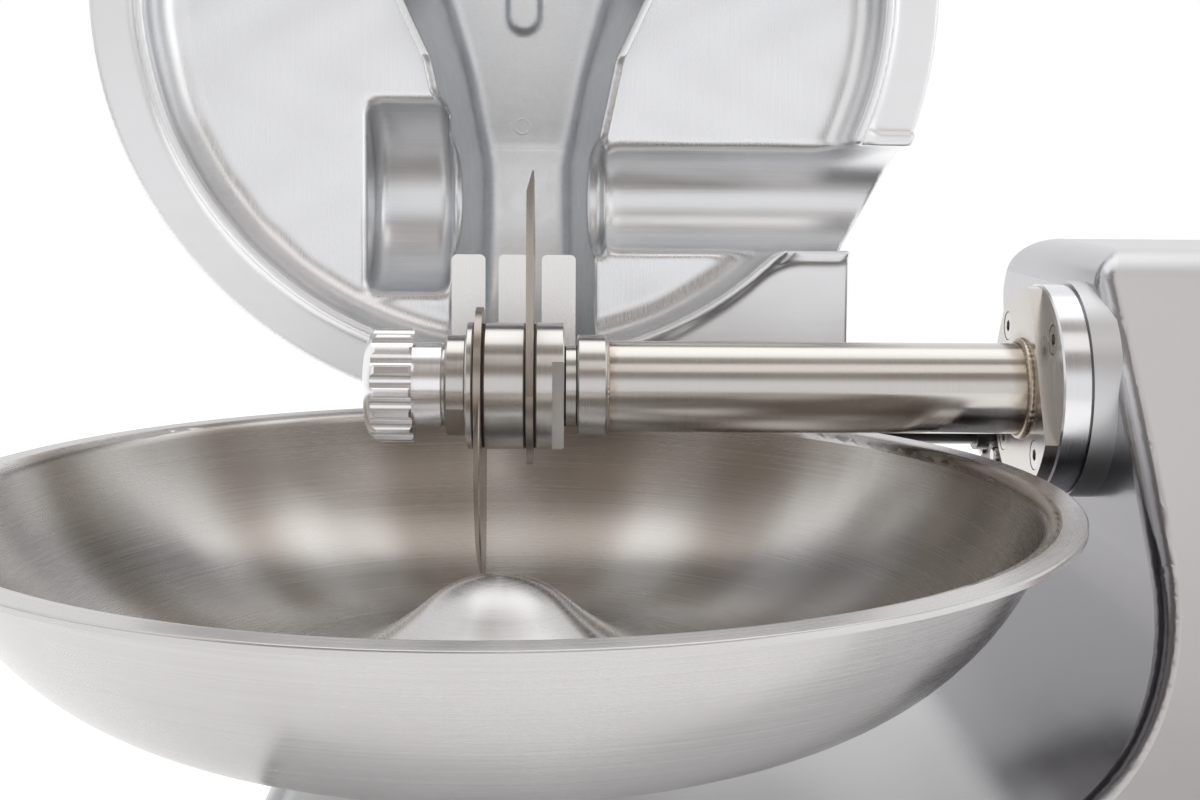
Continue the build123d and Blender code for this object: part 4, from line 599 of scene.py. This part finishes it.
def surface_net(values, start, step):
    """Vertices and quads of the surface where a sampled field crosses zero."""
    inside = values < 0
    shape = [n - 1 for n in values.shape]
    nx, ny, nz = shape
    count = sum(inside[i:i + nx, j:j + ny, k:k + nz].astype(np.int8) for i, j, k in CORNERS)
    cells = np.argwhere((count > 0) & (count < 8))
    number = np.full(shape, -1, dtype=np.int64)
    number[tuple(cells.T)] = np.arange(len(cells))
    at_corner = [values[tuple((cells + corner).T)] for corner in CORNERS]
    total = np.zeros((len(cells), 3))
    crossings = np.zeros((len(cells), 1))
    for a, first in enumerate(CORNERS):
        for b, second in enumerate(CORNERS):
            if a < b and sum(abs(p - q) for p, q in zip(first, second)) == 1:
                one, other = at_corner[a], at_corner[b]
                crossed = (one < 0) != (other < 0)
                share = np.where(crossed, one / np.where(crossed, one - other, 1.0), 0.0)
                point = np.array(first) + share[:, None] * (np.array(second) - np.array(first))
                total += np.where(crossed[:, None], point, 0.0)
                crossings += crossed[:, None]
    points = np.array(start) + step * (cells + total / crossings)
    quads = []
    for axis in range(3):
        u, v = (axis + 1) % 3, (axis + 2) % 3
        low = [slice(1, -1)] * 3
        high = [slice(1, -1)] * 3
        low[axis] = slice(0, -1)
        high[axis] = slice(1, None)
        before, after = inside[tuple(low)], inside[tuple(high)]
        edges = np.argwhere(before != after)
        flip = before[tuple(edges.T)]
        edges = edges + [0 if i == axis else 1 for i in range(3)]
        ring = []
        for du, dv in ((1, 1), (0, 1), (0, 0), (1, 0)):
            cell = edges.copy()
            cell[:, u] -= du
            cell[:, v] -= dv
            ring.append(number[tuple(cell.T)])
        ring = np.stack(ring, axis=1)
        quads.append(np.where(flip[:, None], ring, ring[:, ::-1]))
    return points, np.concatenate(quads)


def roof_width(points):
    """Half the width of the knife box's roof, less its rounding."""
    return np.interp(points[:, 1], BOX_PLACES, ROOF_HALF) - 1.0


def settle(points, rounds=3, reach=0.05):
    """Moves each point onto the surface of the casting."""
    for _ in range(rounds):
        here = casting(*points.T)[0]
        rise = [casting(*(points + reach * axis).T)[0] - here for axis in np.eye(3)]
        slope = np.stack(rise, axis=1) / reach
        steep = np.maximum((slope**2).sum(axis=1), 0.25)
        points = points - np.clip(here / steep, -1.0, 1.0)[:, None] * slope
    return points


def smooth_object(name, points, faces):
    """Object with a smooth-shaded mesh, in the scene's collection."""
    mesh = bpy.data.meshes.new(name)
    mesh.from_pydata(points.tolist(), [], faces.tolist())
    mesh.polygons.foreach_set("use_smooth", [True] * len(mesh.polygons))
    mesh.update()
    thing = bpy.data.objects.new(name, mesh)
    bpy.context.collection.objects.link(thing)
    return thing


def add_lid():
    """The casting as one smooth mesh, with attributes that say where each finish goes, and where the knife
    box's walls get painted shade.
    """
    step = 1.5
    low, high = (-231.0, -34.0, 268.0), (231.5, 255.0, 442.0)     # corners round the closed lid
    axes = [np.arange(low[i], high[i], step) for i in range(3)]
    x, y, z = np.meshgrid(*axes, indexing="ij")
    points, faces = surface_net(casting(x, y, z)[0], low, step)
    points = settle(points)
    box = casting(*points.T)[1]
    x, y, z = points.T
    on_roof = np.clip((roof_width(points) - np.abs(x - BOX_MIDDLE)) / 3.0, 0.0, 1.0)
    skins = {
        "blasted": np.clip(2.0 - box, 0.0, 1.0),
        "milled": np.clip(LID_BOTTOM + 1.5 - z, 0.0, 1.0) * (box > 1.0),
        "dished": np.clip((z - DISH_TOP + 6.0) / 4.0, 0.0, 1.0) * (z < DISH_TOP + 1.0),
        # roof: 1 on the box's roof behind the mould line, 0.3 in front of it, 0 on the walls, which the
        # lid's material paints darker as shade.
        "roof": on_roof * np.clip((y - PATCH_Y) / 2.0, 0.3, 1.0),
    }
    lid = smooth_object("lid_cast_body", opened(points), faces)
    for name, values in skins.items():
        lid.data.attributes.new(name, "FLOAT", "POINT").data.foreach_set("value", values.astype(np.float32))
    wear(lid, "lid")
    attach(lid, "lid")
    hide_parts("lid")


add_lid()


# ---------------------------------------------------------------- weld beads
def add_weld(name, x, radius, bead, ripples):
    """A rippled ring of weld round the shaft tube."""
    bm = bmesh.new()
    rings = 6 * ripples
    sides = 10
    grid = []
    for i in range(rings):
        turn = 2 * math.pi * i / rings
        swell = bead * (1 + 0.07 * math.cos(ripples * turn) + 0.06 * math.sin(5 * turn + 1.0))
        loop = []
        for j in range(sides):
            lean = 2 * math.pi * j / sides
            reach = radius + swell * math.cos(lean)
            side = x + swell * math.sin(lean) + 0.15 * bead * math.cos(ripples * turn) * math.cos(lean)
            y, z = shaft_axis.y + reach * math.cos(turn), shaft_axis.z + reach * math.sin(turn)
            loop.append(bm.verts.new((side, y, z)))
        grid.append(loop)
    for i in range(rings):
        for j in range(sides):
            near, far = grid[i], grid[(i + 1) % rings]
            face = bm.faces.new((near[j], far[j], far[(j + 1) % sides], near[(j + 1) % sides]))
            face.smooth = True
    bmesh.ops.recalc_face_normals(bm, faces=bm.faces)
    mesh = bpy.data.meshes.new(name)
    bm.to_mesh(mesh)
    bm.free()
    weld = bpy.data.objects.new(name, mesh)
    bpy.context.collection.objects.link(weld)
    wear(weld, "weld")
    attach(weld, "machine")


add_weld("flange_weld", flange_weld_x - 0.6 * MM, 22.0 * MM, 1.7 * MM, 44)
add_weld("collar_weld", collar_weld_x + 0.3 * MM, 21.3 * MM, 0.9 * MM, 60)


# ---------------------------------------------------------------- light, floor and camera
def stage_material(name, colour):
    """Pale matt surface that the camera, metal and glass see as white, with the object's shadow on it."""
    look = Look(name, colour, 0.9, metallic=0.0)
    light_path = look.add("ShaderNodeLightPath").outputs
    seen = look.sum("MAXIMUM", light_path["Is Camera Ray"], light_path["Is Glossy Ray"])
    seen = look.sum("MAXIMUM", seen, light_path["Is Transmission Ray"])
    look.feed(look.shader.inputs["Emission Strength"], look.sum("MULTIPLY", seen, 0.45))
    look.shader.inputs["Emission Color"].default_value = (1.0, 1.0, 1.0, 1.0)
    look.tint(look.noise(look.place, 3.0), 0.01)
    return look.material


def add_floor():
    bm = bmesh.new()
    bmesh.ops.create_grid(bm, x_segments=8, y_segments=8, size=4.0)
    mesh = bpy.data.meshes.new("floor")
    bm.to_mesh(mesh)
    bm.free()
    floor = bpy.data.objects.new("floor", mesh)
    bpy.context.collection.objects.link(floor)
    mesh.materials.append(stage_material("floor_matt", (0.86, 0.86, 0.86)))


def add_world():
    """White behind the object. Behind the camera pale at eye level, warm grey overhead, grey at the left."""
    world = bpy.data.worlds.new("studio")
    bpy.context.scene.world = world
    world.use_nodes = True
    tree = world.node_tree
    background = next(n for n in tree.nodes if n.type == "BACKGROUND")
    direction = tree.nodes.new("ShaderNodeTexCoord").outputs["Generated"]
    split = tree.nodes.new("ShaderNodeSeparateXYZ")
    tree.links.new(direction, split.inputs[0])

    def stage_tone(axis, start, end, first, second):
        """Blends two tones as one component of the direction goes from start to end."""
        room = tree.nodes.new("ShaderNodeMapRange")
        room.interpolation_type = "SMOOTHSTEP"
        tree.links.new(split.outputs[axis], room.inputs["Value"])
        room.inputs["From Min"].default_value = start
        room.inputs["From Max"].default_value = end
        return mixed(room.outputs[0], first, second)

    def mixed(factor, first, second):
        tone = tree.nodes.new("ShaderNodeMix")
        tone.data_type = "RGBA"
        tree.links.new(factor, tone.inputs[0])
        for index, value in ((6, first), (7, second)):
            if isinstance(value, tuple):
                tone.inputs[index].default_value = (*value, 1.0)
            else:
                tree.links.new(value, tone.inputs[index])
        return tone.outputs[2]

    front = stage_tone("Z", 0.3, 0.55, (0.95, 0.95, 0.96), (0.34, 0.305, 0.28))
    front = stage_tone("X", -0.75, -0.15, (0.42, 0.41, 0.40), front)
    round_about = stage_tone("Y", -0.35, 0.3, front, (1.0, 1.0, 1.0))
    light_path = tree.nodes.new("ShaderNodeLightPath")
    seen = mixed(light_path.outputs["Is Camera Ray"], round_about, (1.0, 1.0, 1.0))
    tree.links.new(seen, background.inputs["Color"])
    background.inputs["Strength"].default_value = 1.0


def add_lamp(name, place, target, size, power):
    light = bpy.data.lights.new(name, "AREA")
    light.shape = "RECTANGLE"
    light.size, light.size_y = size
    light.energy = power
    lamp = bpy.data.objects.new(name, light)
    lamp.location = place
    lamp.rotation_euler = (Vector(target) - Vector(place)).to_track_quat("-Z", "Y").to_euler()
    bpy.context.collection.objects.link(lamp)


def add_camera():
    """The photograph's view: turned 1.45 degrees to the right, 8.15 down, and rolled by 0.51."""
    yaw, pitch, roll = math.radians(1.45), math.radians(8.15), math.radians(0.51)
    ahead = Vector((math.sin(yaw) * math.cos(pitch), math.cos(yaw) * math.cos(pitch), -math.sin(pitch)))
    level = Vector((math.cos(yaw), -math.sin(yaw), 0.0))
    upright = level.cross(ahead)
    right = math.cos(roll) * level + math.sin(roll) * upright
    up = math.cos(roll) * upright - math.sin(roll) * level
    data = bpy.data.cameras.new("camera")
    data.lens = 50.7
    data.sensor_width = 36.0
    data.clip_start = 0.01
    camera = bpy.data.objects.new("camera", data)
    turn = Matrix((right, up, -ahead)).transposed().to_4x4()
    camera.matrix_world = Matrix.Translation((-0.1093, -0.7509, 0.4311)) @ turn
    bpy.context.collection.objects.link(camera)
    bpy.context.scene.camera = camera


add_floor()
add_world()
add_lamp("softbox_left", (-2.0, -0.9, 1.5), (0.0, 0.0, 0.3), (1.4, 1.8), 4.5)
add_lamp("softbox_right", (2.0, -1.2, 1.4), (0.0, 0.0, 0.3), (1.2, 1.6), 3.5)
add_lamp("softbox_over_front", (0.5, -1.1, 2.1), (0.2, 0.0, 0.3), (1.4, 0.8), 3.0)
add_lamp("softbox_top", (0.0, 0.5, 2.0), (0.0, 0.0, 0.3), (1.8, 1.2), 4.5)
add_camera()
bpy.context.scene.view_settings.view_transform = "Standard"
